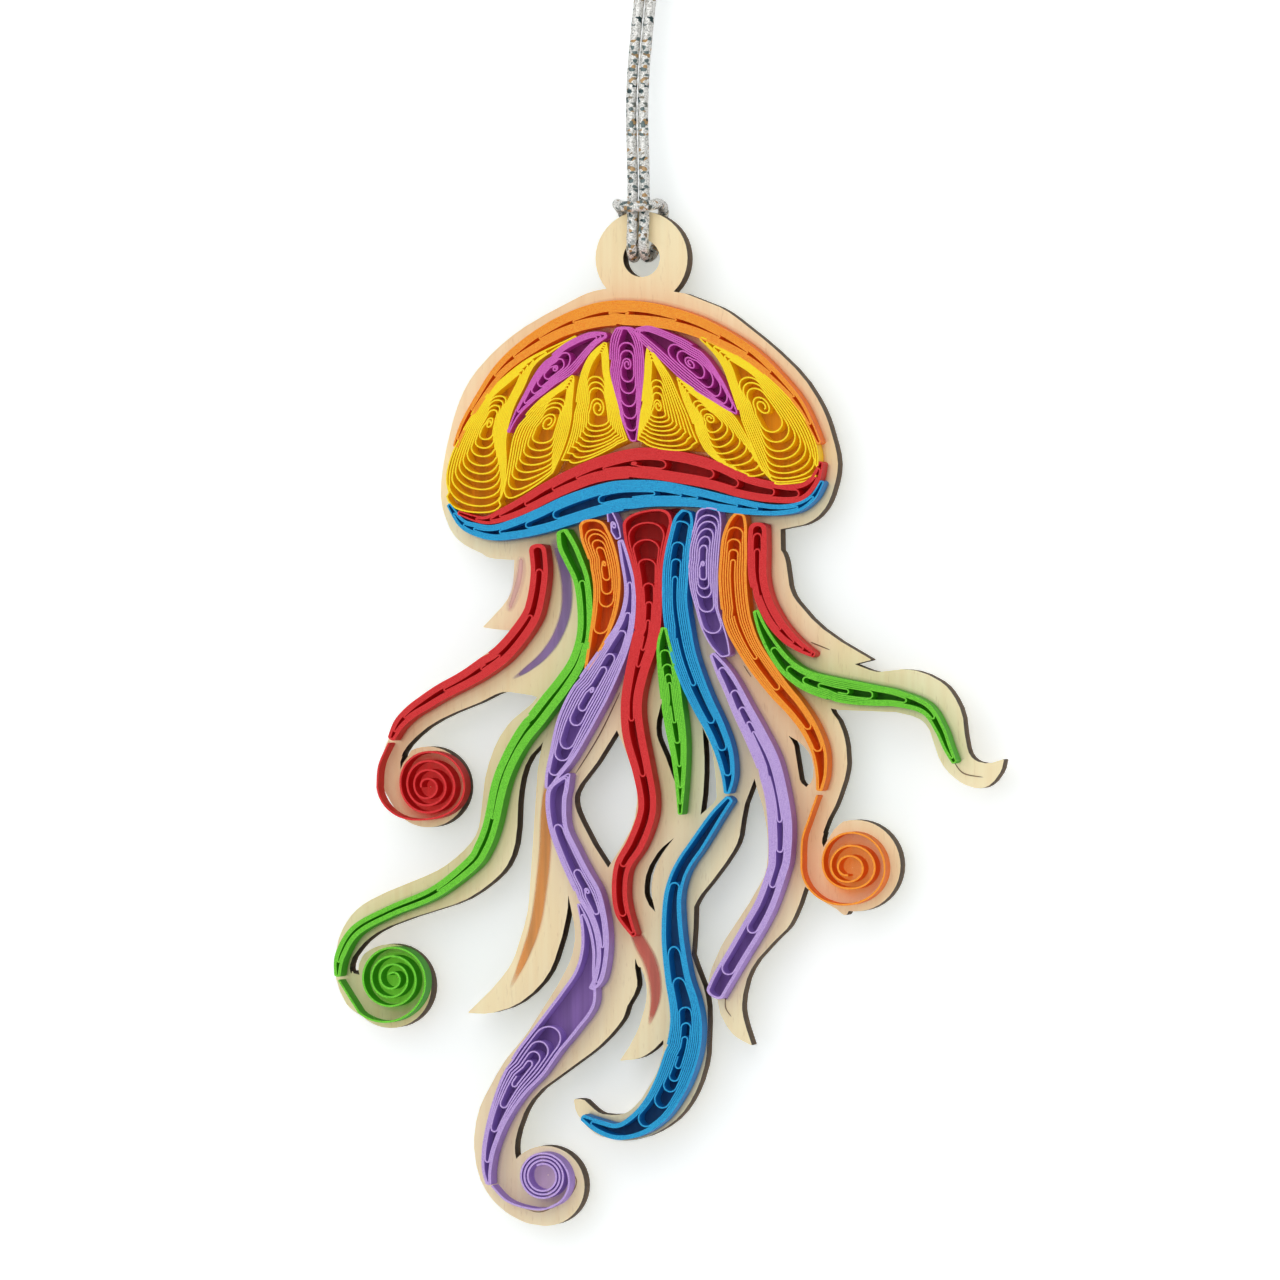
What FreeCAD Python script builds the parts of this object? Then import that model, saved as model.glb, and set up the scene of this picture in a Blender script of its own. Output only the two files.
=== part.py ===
import FreeCAD, Part
import math
import os

# Quilled paper jellyfish: strips of coloured paper, wound and pinched into coils, stand on edge
# on a laser-cut plywood board that hangs from a loop of braided cord hitched through its ring.
# Millimetres. +Z is up, the paper is on the -Y side, X = 0 is the hole's axis, and the origin is
# the top inside of the cord's loop, where it bears on its hook.

# Driving dimensions
figure_height = 111.3      # board, from the top of the ring to the bottom of the lowest coil
board_thickness = 3.0
ring_diameter = 10.3
hole_diameter = 4.1
paper_thickness = 0.17
strip_width = 3.0          # height of the paper strips on edge
glue_gap = 0.12            # between coils that are glued side by side
cord_diameter = 1.2
loop_drop = 67.0           # from the loop's top to the hole's centre
knot_diameter = 3.4
knot_height = 3.0
knot_tail = 2.6
tight_fold = 0.19          # radius of the tightest fold of a strip
turn_gap = 0.16            # least air between two turns of a strip
flat_sag = 0.12            # how far a strip's flat may leave its true curve
board_sag = 0.04           # the same for the board's edge
seam_half = 0.45           # half of the slant by which a strip passes to its next turn
fold_clearance = 0.12      # from the last corner of a wall to the fold after it
knot_rim = 0.6             # chamfer at the knot's two ends
tail_lean = 0.35           # how far the knot's tails lean outward, for each unit of rise

# The figure was set out on a squared drawing, 1012 squares tall, seen from the front with y
# downward. Every point below is in its squares.
squares_tall = 1012.0
hole_square = (635.9, 259.5)
square = figure_height / squares_tall

front = -board_thickness / 2

os.makedirs("parts", exist_ok=True)


def place(x, y):
    """The point of the drawing at (x, y), in millimetres: across and up."""
    return ((x - hole_square[0]) * square, -loop_drop - (y - hole_square[1]) * square)


def mix(a, b, share):
    """The point, or row of numbers, a share of the way from a to b."""
    return tuple(p + (q - p) * share for p, q in zip(a, b))


def smooth(points, share, closed=False):
    """A point on the smooth line through the points, at a share of the way along their list."""
    count = len(points) if closed else len(points) - 1
    position = min(max(share, 0.0), 1.0) * count
    index = min(int(position), count - 1)
    t = position - index
    if closed:
        p0, p1, p2, p3 = (points[(index + k) % len(points)] for k in (-1, 0, 1, 2))
    else:
        p0, p1, p2, p3 = (points[min(max(index + k, 0), count)] for k in (-1, 0, 1, 2))
    return tuple(
        0.5 * (2 * b + (c - a) * t + (2 * a - 5 * b + 4 * c - d) * t**2 + (3 * b - a - 3 * c + d) * t**3)
        for a, b, c, d in zip(p0, p1, p2, p3)
    )


def sag_of(row, first, last):
    """How far the points of a row lie from the straight runs between two other rows."""
    worst = 0.0
    for k in range(0, len(row), 2):
        ax, az, bx, bz, px, pz = *first[k : k + 2], *last[k : k + 2], *row[k : k + 2]
        run = math.hypot(bx - ax, bz - az)
        if run > 1e-6:
            away = abs((bx - ax) * (pz - az) - (bz - az) * (px - ax)) / run
        else:
            away = math.hypot(px - ax, pz - az)
        worst = max(worst, away)
    return worst


def fewest(rows, sag):
    """The fewest of the rows whose straight runs stay within the sag of the line or lines."""
    if len(rows) < 3:
        return rows
    sags = [sag_of(row, rows[0], rows[-1]) for row in rows[1:-1]]
    worst = max(sags)
    if worst <= sag:
        return [rows[0], rows[-1]]
    where = sags.index(worst) + 1
    return fewest(rows[: where + 1], sag)[:-1] + fewest(rows[where:], sag)


def beside(points, away):
    """The open line that runs beside the points, offset to their left, with mitred corners.

    On the inside of a fold the corner is where the two walls meet. On its outside the corner is
    blunt.
    """
    line = []
    for index, (px, pz) in enumerate(points):
        ax, az = points[max(index - 1, 0)]
        bx, bz = points[min(index + 1, len(points) - 1)]
        before = math.atan2(pz - az, px - ax) if index else math.atan2(bz - pz, bx - px)
        after = math.atan2(bz - pz, bx - px) if index < len(points) - 1 else before
        half_turn = math.remainder(after - before, 2 * math.pi) / 2
        inside = half_turn * away > 0
        reach = away / max(math.cos(half_turn), 0.1 if inside else 0.6)
        along = before + half_turn
        line.append((px - math.sin(along) * reach, pz + math.cos(along) * reach))
    return line


def flat_face(outline):
    """A flat face on the board's front, from a closed line of (across, up) points."""
    corners = [FreeCAD.Vector(x, front, z) for x, z in outline]
    return Part.Face(Part.makePolygon(corners + corners[:1]))


def strip(line):
    """A paper strip that stands on edge on the board and follows the line."""
    outline = beside(line, paper_thickness / 2) + beside(line, -paper_thickness / 2)[::-1]
    return flat_face(outline).extrude(FreeCAD.Vector(0, -strip_width, 0))


def rungs_of(rib):
    """A band's rungs, from a rib of (x, y, half width): each runs from its left to its right edge."""
    rungs = []
    for index, (x, y, half) in enumerate(rib):
        ahead, behind = rib[min(index + 1, len(rib) - 1)], rib[max(index - 1, 0)]
        run = math.dist(ahead[:2], behind[:2])
        across, down = half * (ahead[1] - behind[1]) / run, half * (ahead[0] - behind[0]) / run
        rungs.append((x - across, y + down, x + across, y - down))
    return rungs


class Winding:
    """How one strip is wound inside a row of rungs, from its outline in to its eye."""

    def __init__(self, rungs, turns, eye, foot=1.0):
        """Take the rungs, the turns, the eye's two shares of the length, and the foot's roundness."""
        self.rungs = rungs
        self.turns = turns
        self.eye = eye
        self.foot = foot
        middles = [((a + c) / 2, (b + d) / 2) for a, b, c, d in rungs]
        self.length = square * sum(math.dist(p, q) for p, q in zip(middles, middles[1:]))
        self.seam = (eye[0] + eye[1]) / 2
        self.seam_reach = seam_half / self.length
        self.corners = self.corner_shares()

    def rung(self, share):
        """The left and right ends of the rung at a share of the length."""
        lx, ly, rx, ry = smooth(self.rungs, share)
        return place(lx, ly), place(rx, ry)

    def corner_shares(self):
        """The shares at which the two edges need a corner."""
        samples = 8 * (len(self.rungs) - 1)
        shares = [index / samples for index in range(samples + 1)]
        rows = [sum(self.rung(share), ()) for share in shares]
        kept = fewest(rows, flat_sag)
        return [share for share, row in zip(shares, rows) if row in kept]

    def room(self, share, layer):
        """The distance from the middle to the wall of a layer."""
        left, right = self.rung(share)
        whole = math.dist(left, right) / 2 - (paper_thickness + glue_gap) / 2
        pitch = max(paper_thickness + turn_gap, whole / (self.turns + 0.5))
        return whole - layer * pitch

    def wall(self, share, layer, side):
        """The point where a layer's wall passes on the left (-1) or the right (1)."""
        return self.point(share, side * max(self.room(share, layer), tight_fold))

    def point(self, share, away):
        """The point at a share of the length, a distance to the right of the middle."""
        left, right = self.rung(share)
        return mix(left, right, 0.5 + away / max(math.dist(left, right), 1e-6))

    def limit(self, layer, end):
        """How far a layer reaches toward the share 0 or 1 before it becomes too narrow."""
        wanted = end + (self.eye[end] - end) * (layer / self.turns) ** 0.8
        steps = 100
        reached = self.seam
        for step in range(1, steps + 1):
            share = self.seam + (wanted - self.seam) * step / steps
            if layer and self.room(share, layer) < tight_fold:
                break
            reached = share
        return reached

    def fold(self, share, layer, end):
        """The fold of a layer at one end: its base's share, its half width and its depth."""
        inward = 1 if end == 0 else -1
        half = tight_fold
        for _ in range(4):
            half = max(self.room(share + inward * half / self.length, layer), tight_fold)
        depth = max(half * (self.foot if end else 1.0), tight_fold)
        return share + inward * depth / self.length, half, depth

    def line(self):
        """The line that the strip follows."""
        points = []
        for layer in range(self.turns):
            head, toe = self.limit(layer, 0), self.limit(layer, 1)
            head_base, head_half, head_depth = self.fold(head, layer, 0)
            toe_base, toe_half, toe_depth = self.fold(toe, layer, 1)
            above, below = self.seam - self.seam_reach, self.seam + self.seam_reach
            if head_base > above or toe_base < below:
                break
            clear = fold_clearance / self.length
            rising = [share for share in self.corners if head_base + clear < share < above - clear]
            for share in [above] + rising[::-1]:
                points.append(self.wall(share, layer, -1))
            for turned in fold_angles(head_half):
                share = head_base - head_depth * math.sin(turned) / self.length
                points.append(self.point(share, -head_half * math.cos(turned)))
            for share in self.corners:
                if head_base + clear < share < toe_base - clear:
                    points.append(self.wall(share, layer, 1))
            for turned in fold_angles(toe_half):
                share = toe_base + toe_depth * math.sin(turned) / self.length
                points.append(self.point(share, toe_half * math.cos(turned)))
            falling = [share for share in self.corners if below + clear < share < toe_base - clear]
            for share in falling[::-1] + [below]:
                points.append(self.wall(share, layer, -1))
        return points


def fold_angles(half):
    """The angles round a fold at which it has a corner: more of them in a wider fold."""
    count = 3 if half < 0.35 else 4 if half < 1.0 else 6
    return [math.pi * index / count for index in range(count + 1)]


def scroll(lead, centre, start_angle, radii):
    """One loose strip: a lead-in, then a spiral through its radii at each quarter turn."""
    steps = 15
    spiral = []
    for step in range(steps * (len(radii) - 1) + 1):
        (reach,) = smooth([(radius,) for radius in radii], step / (steps * (len(radii) - 1)))
        angle = math.radians(start_angle + 90 * step / steps)
        spiral.append((centre[0] + reach * math.cos(angle), centre[1] - reach * math.sin(angle)))
    knots = lead + spiral[:1]
    lead_steps = 12 * len(lead)
    line = [smooth(knots, step / lead_steps) for step in range(lead_steps)]
    return strip(fewest([place(x, y) for x, y in line + spiral], flat_sag))


def save(name, shape):
    """Write one named piece, and print its volume."""
    shape.exportStep("parts/" + name + ".step")
    print(name, "volume", round(shape.Volume, 2), "valid", shape.isValid())


# Long bands: each row is a point of the band's rib and its half width there
crescent_rib = [
    (452, 447, 2), (461, 425, 3.5), (478, 397, 4.5), (498, 370, 5.5), (525, 347, 7.5), (560, 327, 9),
    (600, 315, 10.5), (640, 312, 11), (680, 319, 10), (715, 332, 8.5), (750, 355, 6.5),
    (780, 383, 4.5), (803, 411, 3.5), (821, 445, 2),
]
red_rim_rib = [
    (458, 514, 2), (480, 520.5, 4.5), (502, 521, 6), (522, 515, 8.5), (545, 505, 10.5), (570, 491, 12),
    (600, 474, 13.5), (640, 463, 14.5), (680, 465, 14.5), (715, 476, 12.5), (745, 486, 10.5),
    (775, 493, 9), (800, 492.5, 8), (816, 481, 5), (823, 464, 2),
]
blue_rim_rib = [
    (447, 509, 2), (459, 526, 4), (480, 535.5, 5), (505, 536.5, 5), (530, 531, 6), (555, 520.5, 7),
    (580, 509.5, 8), (605, 501.5, 10), (640, 494, 12), (680, 496, 12), (715, 503, 10),
    (745, 508.5, 8), (775, 511.5, 5), (800, 507.5, 3.8), (815, 496, 3), (824, 482, 2),
]
red_left_rib = [
    (535, 544, 6.5), (538, 575, 7.5), (530, 612, 7.5), (505, 643, 7.5), (465, 672, 7),
    (425, 698, 6.5), (398, 720, 5.5), (384, 742, 3),
]
green_left_rib = [
    (567, 532, 6), (580, 572, 8), (583, 610, 8), (573, 655, 7.5), (550, 695, 7), (520, 735, 7),
    (500, 780, 7), (489, 825, 6.5), (470, 862, 6), (430, 892, 5), (385, 911, 4.5), (350, 930, 4.5),
    (334, 955, 4), (331, 976, 2.5),
]
lilac_loop_rib = [(608, 515, 2.5), (612, 526, 3.5), (616, 538, 2.5)]
lilac_upper_rib = [
    (620, 545, 2), (626, 570, 4), (629.5, 598, 5), (627, 622, 7), (619, 645, 10.5), (608, 666, 13),
    (595, 689, 15), (583, 709, 15.5), (572, 733, 14), (562, 757, 10), (552, 775, 6), (548, 787, 2.5),
]
lilac_middle_rib = [
    (562, 783, 2.5), (554, 802, 6.5), (554.5, 828, 7.5), (562, 855, 8), (574, 884, 8), (586, 912, 8),
    (596, 935, 7), (597, 955, 6), (593, 978, 5), (587, 996, 2.5),
]
lilac_lower_rib = [
    (581, 1003, 3), (562, 1022, 9), (545, 1043, 13), (530, 1064, 14.5), (512, 1088, 12),
    (497, 1115, 8.5), (487, 1145, 6), (484, 1168, 4), (486, 1182, 2.5),
]
red_centre_rib = [
    (648, 515, 17), (648, 535, 18), (648, 560, 14), (648, 590, 11), (648, 620, 10.5),
    (643.5, 648, 10.5), (635.5, 676, 10), (631, 705, 9.5), (633.5, 735, 10), (643, 770, 8),
    (647.5, 797, 7.5), (645, 818, 8), (635, 843, 8.5), (622.5, 865, 7), (619, 890, 6),
    (623, 912, 6), (634, 934, 2.5),
]
green_leaf_rib = [
    (661.5, 637, 2), (663.5, 660, 5), (670, 686, 7.5), (677, 712, 8.5), (681, 740, 8.5),
    (682.5, 768, 6.5), (682, 792, 4.5), (681, 812, 2),
]
blue_upper_rib = [
    (687, 517, 6), (683.5, 530, 9), (679, 548, 11), (675, 572, 12), (674.5, 600, 12.5), (677, 628, 12),
    (683, 655, 11.5), (692.5, 682, 11), (702, 705, 9.5), (714, 728, 8), (723, 752, 7),
    (727, 775, 4.5), (726, 792, 2.5),
]
blue_lower_rib = [
    (724, 800, 2.5), (706, 821, 6), (690.5, 843, 6.5), (676.5, 868, 7), (672, 900, 8), (675, 940, 10),
    (680.5, 975, 11.5), (686, 1008, 14), (687, 1035, 15.5), (681, 1060, 16), (670, 1085, 15),
    (656, 1106, 13.5), (638, 1122, 10.5), (617, 1128.5, 7), (598, 1123.5, 6), (581, 1115, 3),
]
lilac_right_rib = [
    (715, 654, 2.5), (726, 675, 6), (739, 698, 8.5), (748, 711, 9.5), (759, 735, 10.5), (770, 760, 11),
    (779.5, 787, 10), (784, 815, 9.5), (784.5, 840, 9), (781, 867, 8), (768, 901, 8.5),
    (755, 925, 9), (740, 950, 8.5), (725, 975, 8.5), (715, 994, 8),
]
orange_right_rib = [
    (738, 522, 7), (734.5, 545, 11.5), (734, 572, 13), (735, 600, 13), (741, 622, 12), (752, 646, 10),
    (766, 665, 10), (782, 687, 9), (798, 707, 8), (811, 728, 6.5), (819, 750, 4.5),
    (820.5, 772, 3.5), (820, 788, 2.5),
]
red_right_rib = [
    (758, 524, 7), (757.5, 550, 8.5), (758, 578, 7.5), (764, 600, 6.5), (774, 620, 6.5), (787, 636, 6),
    (802, 647.5, 4), (813, 654, 2.5),
]
green_right_rib = [
    (757, 611, 2.5), (764, 630, 3.5), (776, 651, 5), (791, 668, 6), (810, 681, 7.5), (835, 689.5, 9),
    (860, 693.5, 9.5), (885, 696, 8), (910, 699.5, 6), (930, 709, 5), (942, 728, 4), (950, 747, 3),
    (957, 761, 2),
]

# Bands: name, rib, turns, and the shares of its length between which the eye lies
bands = [
    ("orange_crescent", crescent_rib, 2, (0.40, 0.56)),
    ("red_rim", red_rim_rib, 2, (0.42, 0.56)),
    ("blue_rim", blue_rim_rib, 2, (0.42, 0.56)),
    ("red_left_tentacle", red_left_rib, 1, (0.40, 0.60)),
    ("green_left_tentacle", green_left_rib, 1, (0.30, 0.45)),
    ("lilac_loop", lilac_loop_rib, 1, (0.50, 0.50)),
    ("lilac_upper_tentacle", lilac_upper_rib, 3, (0.56, 0.68)),
    ("lilac_middle_tentacle", lilac_middle_rib, 1, (0.40, 0.60)),
    ("lilac_lower_tentacle", lilac_lower_rib, 3, (0.30, 0.42)),
    ("red_centre_tentacle", red_centre_rib, 2, (0.22, 0.45)),
    ("green_leaf", green_leaf_rib, 1, (0.40, 0.50)),
    ("blue_upper_tentacle", blue_upper_rib, 2, (0.30, 0.45)),
    ("blue_lower_tentacle", blue_lower_rib, 3, (0.58, 0.70)),
    ("lilac_right_tentacle", lilac_right_rib, 2, (0.28, 0.40)),
    ("orange_right_tentacle", orange_right_rib, 2, (0.22, 0.38)),
    ("red_right_tentacle", red_right_rib, 1, (0.30, 0.50)),
    ("green_right_tentacle", green_right_rib, 2, (0.45, 0.60)),
]

# Lobes: name, rungs from the narrow end down (left point, right point), turns, the eye's shares,
# and how round the foot is
lobes = [
    ("yellow_lobe_1", [
        (560, 343.5, 561, 345), (545, 350.5, 547.5, 353), (524, 362.5, 533, 367), (501, 381, 524, 388),
        (482, 405, 514, 410), (464, 436, 506, 437), (448, 461, 504, 466), (444, 486, 499, 494),
        (453, 508, 485, 512),
    ], 3, (0.50, 0.62), 0.7),
    ("yellow_lobe_2", [
        (571, 377, 573, 380), (557, 388, 572, 394), (541, 400, 571, 405), (525, 416, 569, 420),
        (513, 436, 565, 438), (508, 459, 558, 457), (504, 483, 552, 470), (498, 507, 547, 478),
    ], 3, (0.40, 0.52), 0.5),
    ("yellow_lobe_3", [
        (603, 345, 605.5, 346), (591, 356, 607, 358), (583, 370, 608.5, 374), (578, 388, 612, 390),
        (575, 409, 617, 408), (572, 430, 621, 425), (564, 454, 624, 436), (555, 473, 627, 443),
    ], 3, (0.50, 0.62), 0.4),
    ("yellow_lobe_4", [
        (646, 350, 649.5, 349.5), (646, 361, 657, 363), (645, 379, 668, 379), (643, 397, 677, 397),
        (641, 417, 685, 415), (639, 432, 692, 435), (638, 443, 699, 450),
    ], 3, (0.50, 0.62), 0.4),
    ("yellow_lobe_5", [
        (676, 380, 680, 378), (682, 390, 689, 386), (687, 405, 701, 396), (693, 421, 714, 405),
        (700, 435, 727, 414), (708, 449, 738, 427), (718, 459, 748, 440), (732, 465, 756, 454),
        (748, 470, 763, 466),
    ], 3, (0.42, 0.55), 0.4),
    ("yellow_lobe_6", [
        (704, 347, 707, 344), (715, 357, 721, 351), (725, 372, 740, 362), (733, 391, 760, 378),
        (742, 414, 781, 397), (750, 435, 798, 416), (759, 455, 810, 437), (767, 470, 816, 454),
        (777, 477.5, 814, 468), (789, 480, 806, 476),
    ], 3, (0.42, 0.52), 0.6),
    ("magenta_petal_1", [
        (605, 335, 605, 339), (590, 334, 593, 349), (570, 342, 579, 366), (552, 354, 561, 381),
        (535, 374, 548, 391), (524, 394, 534, 403), (516, 410, 522, 414), (508, 427, 511, 430),
    ], 2, (0.30, 0.42), 1.0),
    ("magenta_petal_2", [
        (618, 330, 630, 330), (612, 339, 638, 339), (610, 356, 642.5, 356), (611, 377, 642.5, 377),
        (616, 400, 640, 400), (623, 423, 638, 423), (631, 441, 635, 441),
    ], 2, (0.30, 0.42), 1.0),
    ("magenta_petal_3", [
        (638, 331, 636.5, 334.5), (652, 330, 644, 344), (670, 336, 659, 358), (690, 346, 678, 375),
        (707, 361, 696, 390), (721, 381, 714, 401), (731, 399, 727, 408), (736.5, 411, 735.5, 413),
    ], 2, (0.42, 0.54), 1.0),
    ("orange_leaf", [
        (577, 526, 604, 526), (586, 545, 609, 545), (593, 570, 613, 570), (596, 595, 615, 595),
        (596, 618, 611, 618), (592, 640, 603, 642), (589, 655, 594, 656),
    ], 2, (0.30, 0.45), 1.0),
    ("lilac_coil_top", [
        (703, 516, 720, 517), (699, 533, 720, 533), (695, 555, 716, 555), (694, 582, 715, 582),
        (699, 608, 716, 606), (708, 632, 722, 628), (718, 649, 728, 645), (727, 658, 731, 654),
    ], 2, (0.18, 0.40), 1.0),
]

# Scrolls: name, lead-in points, centre, the angle where the spiral starts, and its radius at each
# quarter turn from there in to the eye
scrolls = [
    ("red_left_scroll", [(380, 751), (374, 765)], (421, 787), 180,
     [49, 35, 40, 37, 25, 25, 30, 26, 18, 18, 21, 17, 11, 11, 12, 8, 4]),
    ("green_left_scroll", [(338, 994)], (387, 978), 225,
     [48, 37, 32, 30, 29, 26, 23, 21.5, 20, 17, 15, 13, 11, 9, 7, 5]),
    ("lilac_scroll", [(491, 1187), (503, 1198), (521, 1205), (541, 1207)], (541, 1174), 300,
     [31, 24, 22.5, 22, 21.5, 20.2, 19, 18.5, 18, 16.7, 15.5, 15, 14.5, 13.2, 12]),
    ("orange_right_scroll", [(816, 799), (808, 820), (804, 838)], (850, 866), 180,
     [47, 36, 37, 35, 25, 20, 27, 22, 17, 13.5, 15, 12, 10, 7]),
]

# Arms of the board: left edge and right edge, from the root to the tip
arms = [
    # red arm, and the leaf beside it
    ([(528, 545), (530, 575), (523, 609), (499, 637), (460, 666), (420, 692), (393, 716), (376, 742),
      (370, 765), (371.5, 785), (379, 801), (386, 811)],
     [(560, 545), (560, 640), (534, 692), (522, 695), (495, 692), (472, 702), (442, 714),
      (421.6, 724.5), (407.4, 735.4), (397.5, 745.2), (391.5, 754.5), (389.2, 763), (391, 775),
      (405, 800)]),
    ([(507, 545), (506, 567), (504, 589), (495, 605), (474, 627)],
     [(545, 545), (540, 600), (523, 625), (505, 630), (488, 629.5), (475, 627.5)]),
    # green arm
    ([(545, 640), (532, 693), (502, 722), (487, 745), (477, 775), (473, 805), (469, 830), (457, 848),
      (432, 868), (401, 882), (376, 892), (351, 905), (336, 920), (326, 940), (322, 965), (325, 985),
      (333, 1003), (342, 1012), (352, 1018)],
     [(590, 640), (562, 705), (535.5, 742), (522, 757), (514.5, 775), (510.5, 800), (509, 830),
      (504, 855), (490, 876), (458, 899), (421.6, 911.5), (397.3, 919.5), (373.1, 929),
      (356.1, 940), (345.2, 951.6), (338.9, 962), (339.5, 975), (360, 1000)]),
    # leaf with the orange streak
    ([(545, 700), (535.5, 742), (530, 770), (527.5, 810), (524.5, 850), (522.5, 880), (520, 910),
      (512, 940), (502, 965), (482, 990), (459, 1012)],
     [(580, 700), (575, 800), (562.5, 885), (560.5, 910), (554, 940), (543, 970), (527.5, 990),
      (507, 1005), (482, 1013), (460, 1013)]),
    # lilac arm
    ([(520, 545), (534, 650), (545, 740), (550, 800), (554, 860), (561.5, 895), (568, 930), (565, 955),
      (553, 980), (537.5, 1005), (517.5, 1035), (497, 1060), (482, 1085), (470, 1110), (465, 1140),
      (468, 1168), (477, 1190), (494, 1209), (518, 1222), (540, 1225)],
     [(650, 545), (650, 800), (640, 900), (629.5, 957), (631.5, 985), (621.5, 1005), (615.5, 1020),
      (593, 1045), (553, 1075), (532.5, 1090), (517.5, 1110), (507.5, 1140), (510, 1164), (525, 1180),
      (540, 1195)]),
    # leaf with the red streak
    ([(600, 545), (610, 700), (610, 880), (629.5, 957), (635.5, 967), (640.5, 982), (640.5, 1000),
      (633.5, 1025), (623.5, 1045), (614, 1059)],
     [(690, 545), (690, 900), (675, 1020), (658.5, 1038), (648.5, 1048), (633.5, 1057), (615, 1059.5)]),
    # blue arm
    ([(640, 545), (640, 900), (650, 1000), (658.5, 1038), (653.5, 1065), (643.5, 1085),
      (633.5, 1100), (618.5, 1112), (598, 1113), (588, 1108), (578, 1099), (568, 1098)],
     [(760, 545), (768, 700), (757, 762), (750.7, 778), (745.8, 790), (741, 803), (738, 818),
      (734, 840), (722.5, 860),
      (707.5, 880), (694, 897), (686, 915), (682, 935), (684, 945), (691, 965), (699, 985),
      (703, 1005), (703, 1030), (701, 1060), (691, 1090), (674, 1115), (649, 1132), (623.5, 1139),
      (598, 1136), (583, 1128), (570, 1112), (567, 1099)]),
    # lilac right arm and orange arm
    ([(690, 545), (730, 680), (750.7, 778), (760, 810), (764, 840), (762, 870), (752, 890),
      (743, 905), (729.5, 925), (716.5, 945), (706, 970), (705, 985), (713, 998), (717, 1015),
      (729.5, 1033), (747, 1043)],
     [(777, 530), (778, 560), (787, 590), (800, 620), (815, 670), (827.5, 708), (835.5, 720),
      (842, 738), (844.5, 760), (842, 777), (837.8, 790), (832.6, 804), (825.1, 818), (819.9, 832),
      (818.4, 841), (814, 862), (801.8, 885), (795, 905), (785, 925), (770, 940), (752, 960),
      (742, 980), (738, 1005),
      (742, 1025), (748, 1043)]),
    # web between the orange arm and its plate
    ([(830, 850), (806, 868), (801.8, 884.5)],
     [(850, 850), (845.6, 909.5), (831.4, 906), (817.3, 897.6), (809.5, 891), (801.8, 885)]),
    # green right arm, and the tip of the red one above it
    ([(760, 600), (820, 640), (845, 660), (860, 667), (874, 671.5), (888, 670), (901, 669),
      (916.5, 671), (931.5, 677), (944.5, 686), (954.5, 700), (960.5, 715), (963, 735), (967, 752),
      (975, 760), (987, 762), (1001, 758)],
     [(770, 660), (800, 698), (827.5, 708), (845.5, 710), (876, 711), (896, 712), (916.5, 718),
      (926.5, 728), (932.5, 745), (938, 760), (948, 773), (962, 783), (978, 787), (990, 782),
      (999, 770), (1002, 759)]),
    ([(740, 545), (777, 550), (787, 590), (798, 607), (815, 625), (835.5, 640), (857.7, 653),
      (868, 659)],
     [(740, 600), (790, 650), (820, 664), (845, 665), (858, 662.5), (868, 660)]),
]

# Round plates under the scrolls: centre and radius
plates = [((418, 787), 40.5), ((379.5, 986.5), 42), ((538, 1185), 40), ((852.6, 864), 45.5)]

# The bell's outline, round from the left of the ring's neck
bell = [
    (597, 290), (552, 308), (511, 331), (477, 360), (454, 392), (439, 438), (431, 490), (437, 521),
    (449, 540), (470, 552), (500, 560), (640, 560), (777, 530), (804, 524), (820, 512), (830, 492),
    (835, 465), (829, 436), (819, 409), (800, 379), (773, 352), (746, 330), (720, 311), (693, 300),
    (669, 293),
]

# Windows between the arms: the sides of each run from its top to its foot, left then right
windows = [
    ([(611, 730), (590, 763), (568, 797), (582, 835), (602, 867)],
     [(611, 730), (621.5, 755), (629.5, 780), (631.5, 800), (625.5, 828), (602, 867)]),
    ([(656, 703), (651.7, 720), (651.7, 735), (657, 748), (662, 760), (670, 782)],
     [(656, 703), (662, 720), (666, 740), (670, 782)]),
    ([(698, 727), (700, 760), (699, 790), (696, 814)],
     [(698, 727), (708, 752), (712, 790), (710, 801), (696, 814)]),
    ([(669, 837), (654, 850), (642, 870), (639, 890), (643, 903), (650, 911)],
     [(669, 837), (657, 853), (649, 870), (646, 890), (650, 911)]),
    ([(785, 735), (791, 745), (794, 765), (797, 780), (803, 786)],
     [(785, 735), (795, 741), (805, 751), (810, 765), (809, 779), (803, 786)]),
    ([(826.3, 817.2), (820.6, 832), (818.9, 840.5), (820.4, 845.5)],
     [(843, 818), (835.7, 823.6), (830, 829.2), (825.8, 836.2), (820.4, 845.5)]),
    ([(344, 954), (339.3, 962), (339.2, 968.5), (342, 974), (347.6, 975.3)],
     [(356, 950.5), (350.5, 957), (347, 965), (346.5, 971), (347.6, 975.3)]),
    ([(393.6, 751.5), (389.6, 762), (389.8, 769.7)],
     [(401, 750), (397, 757), (392.5, 763), (389.8, 769.7)]),
]


def edged_face(left, right):
    """A flat face between two smooth edges that share their ends or nearly so."""
    steps = 8
    line = []
    for edge in (left, right[::-1]):
        count = steps * (len(edge) - 1)
        side = [place(*smooth(edge, step / count)) for step in range(count + 1)]
        line += fewest(side, board_sag)
    kept = [line[index] for index in range(len(line)) if math.dist(line[index], line[index - 1]) > 1e-4]
    return flat_face(kept)


def disc(centre, radius):
    """A flat disc on the board's front."""
    middle = FreeCAD.Vector(centre[0], front, centre[1])
    circle = Part.makeCircle(radius, middle, FreeCAD.Vector(0, 1, 0))
    return Part.Face(Part.Wire(circle))


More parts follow.
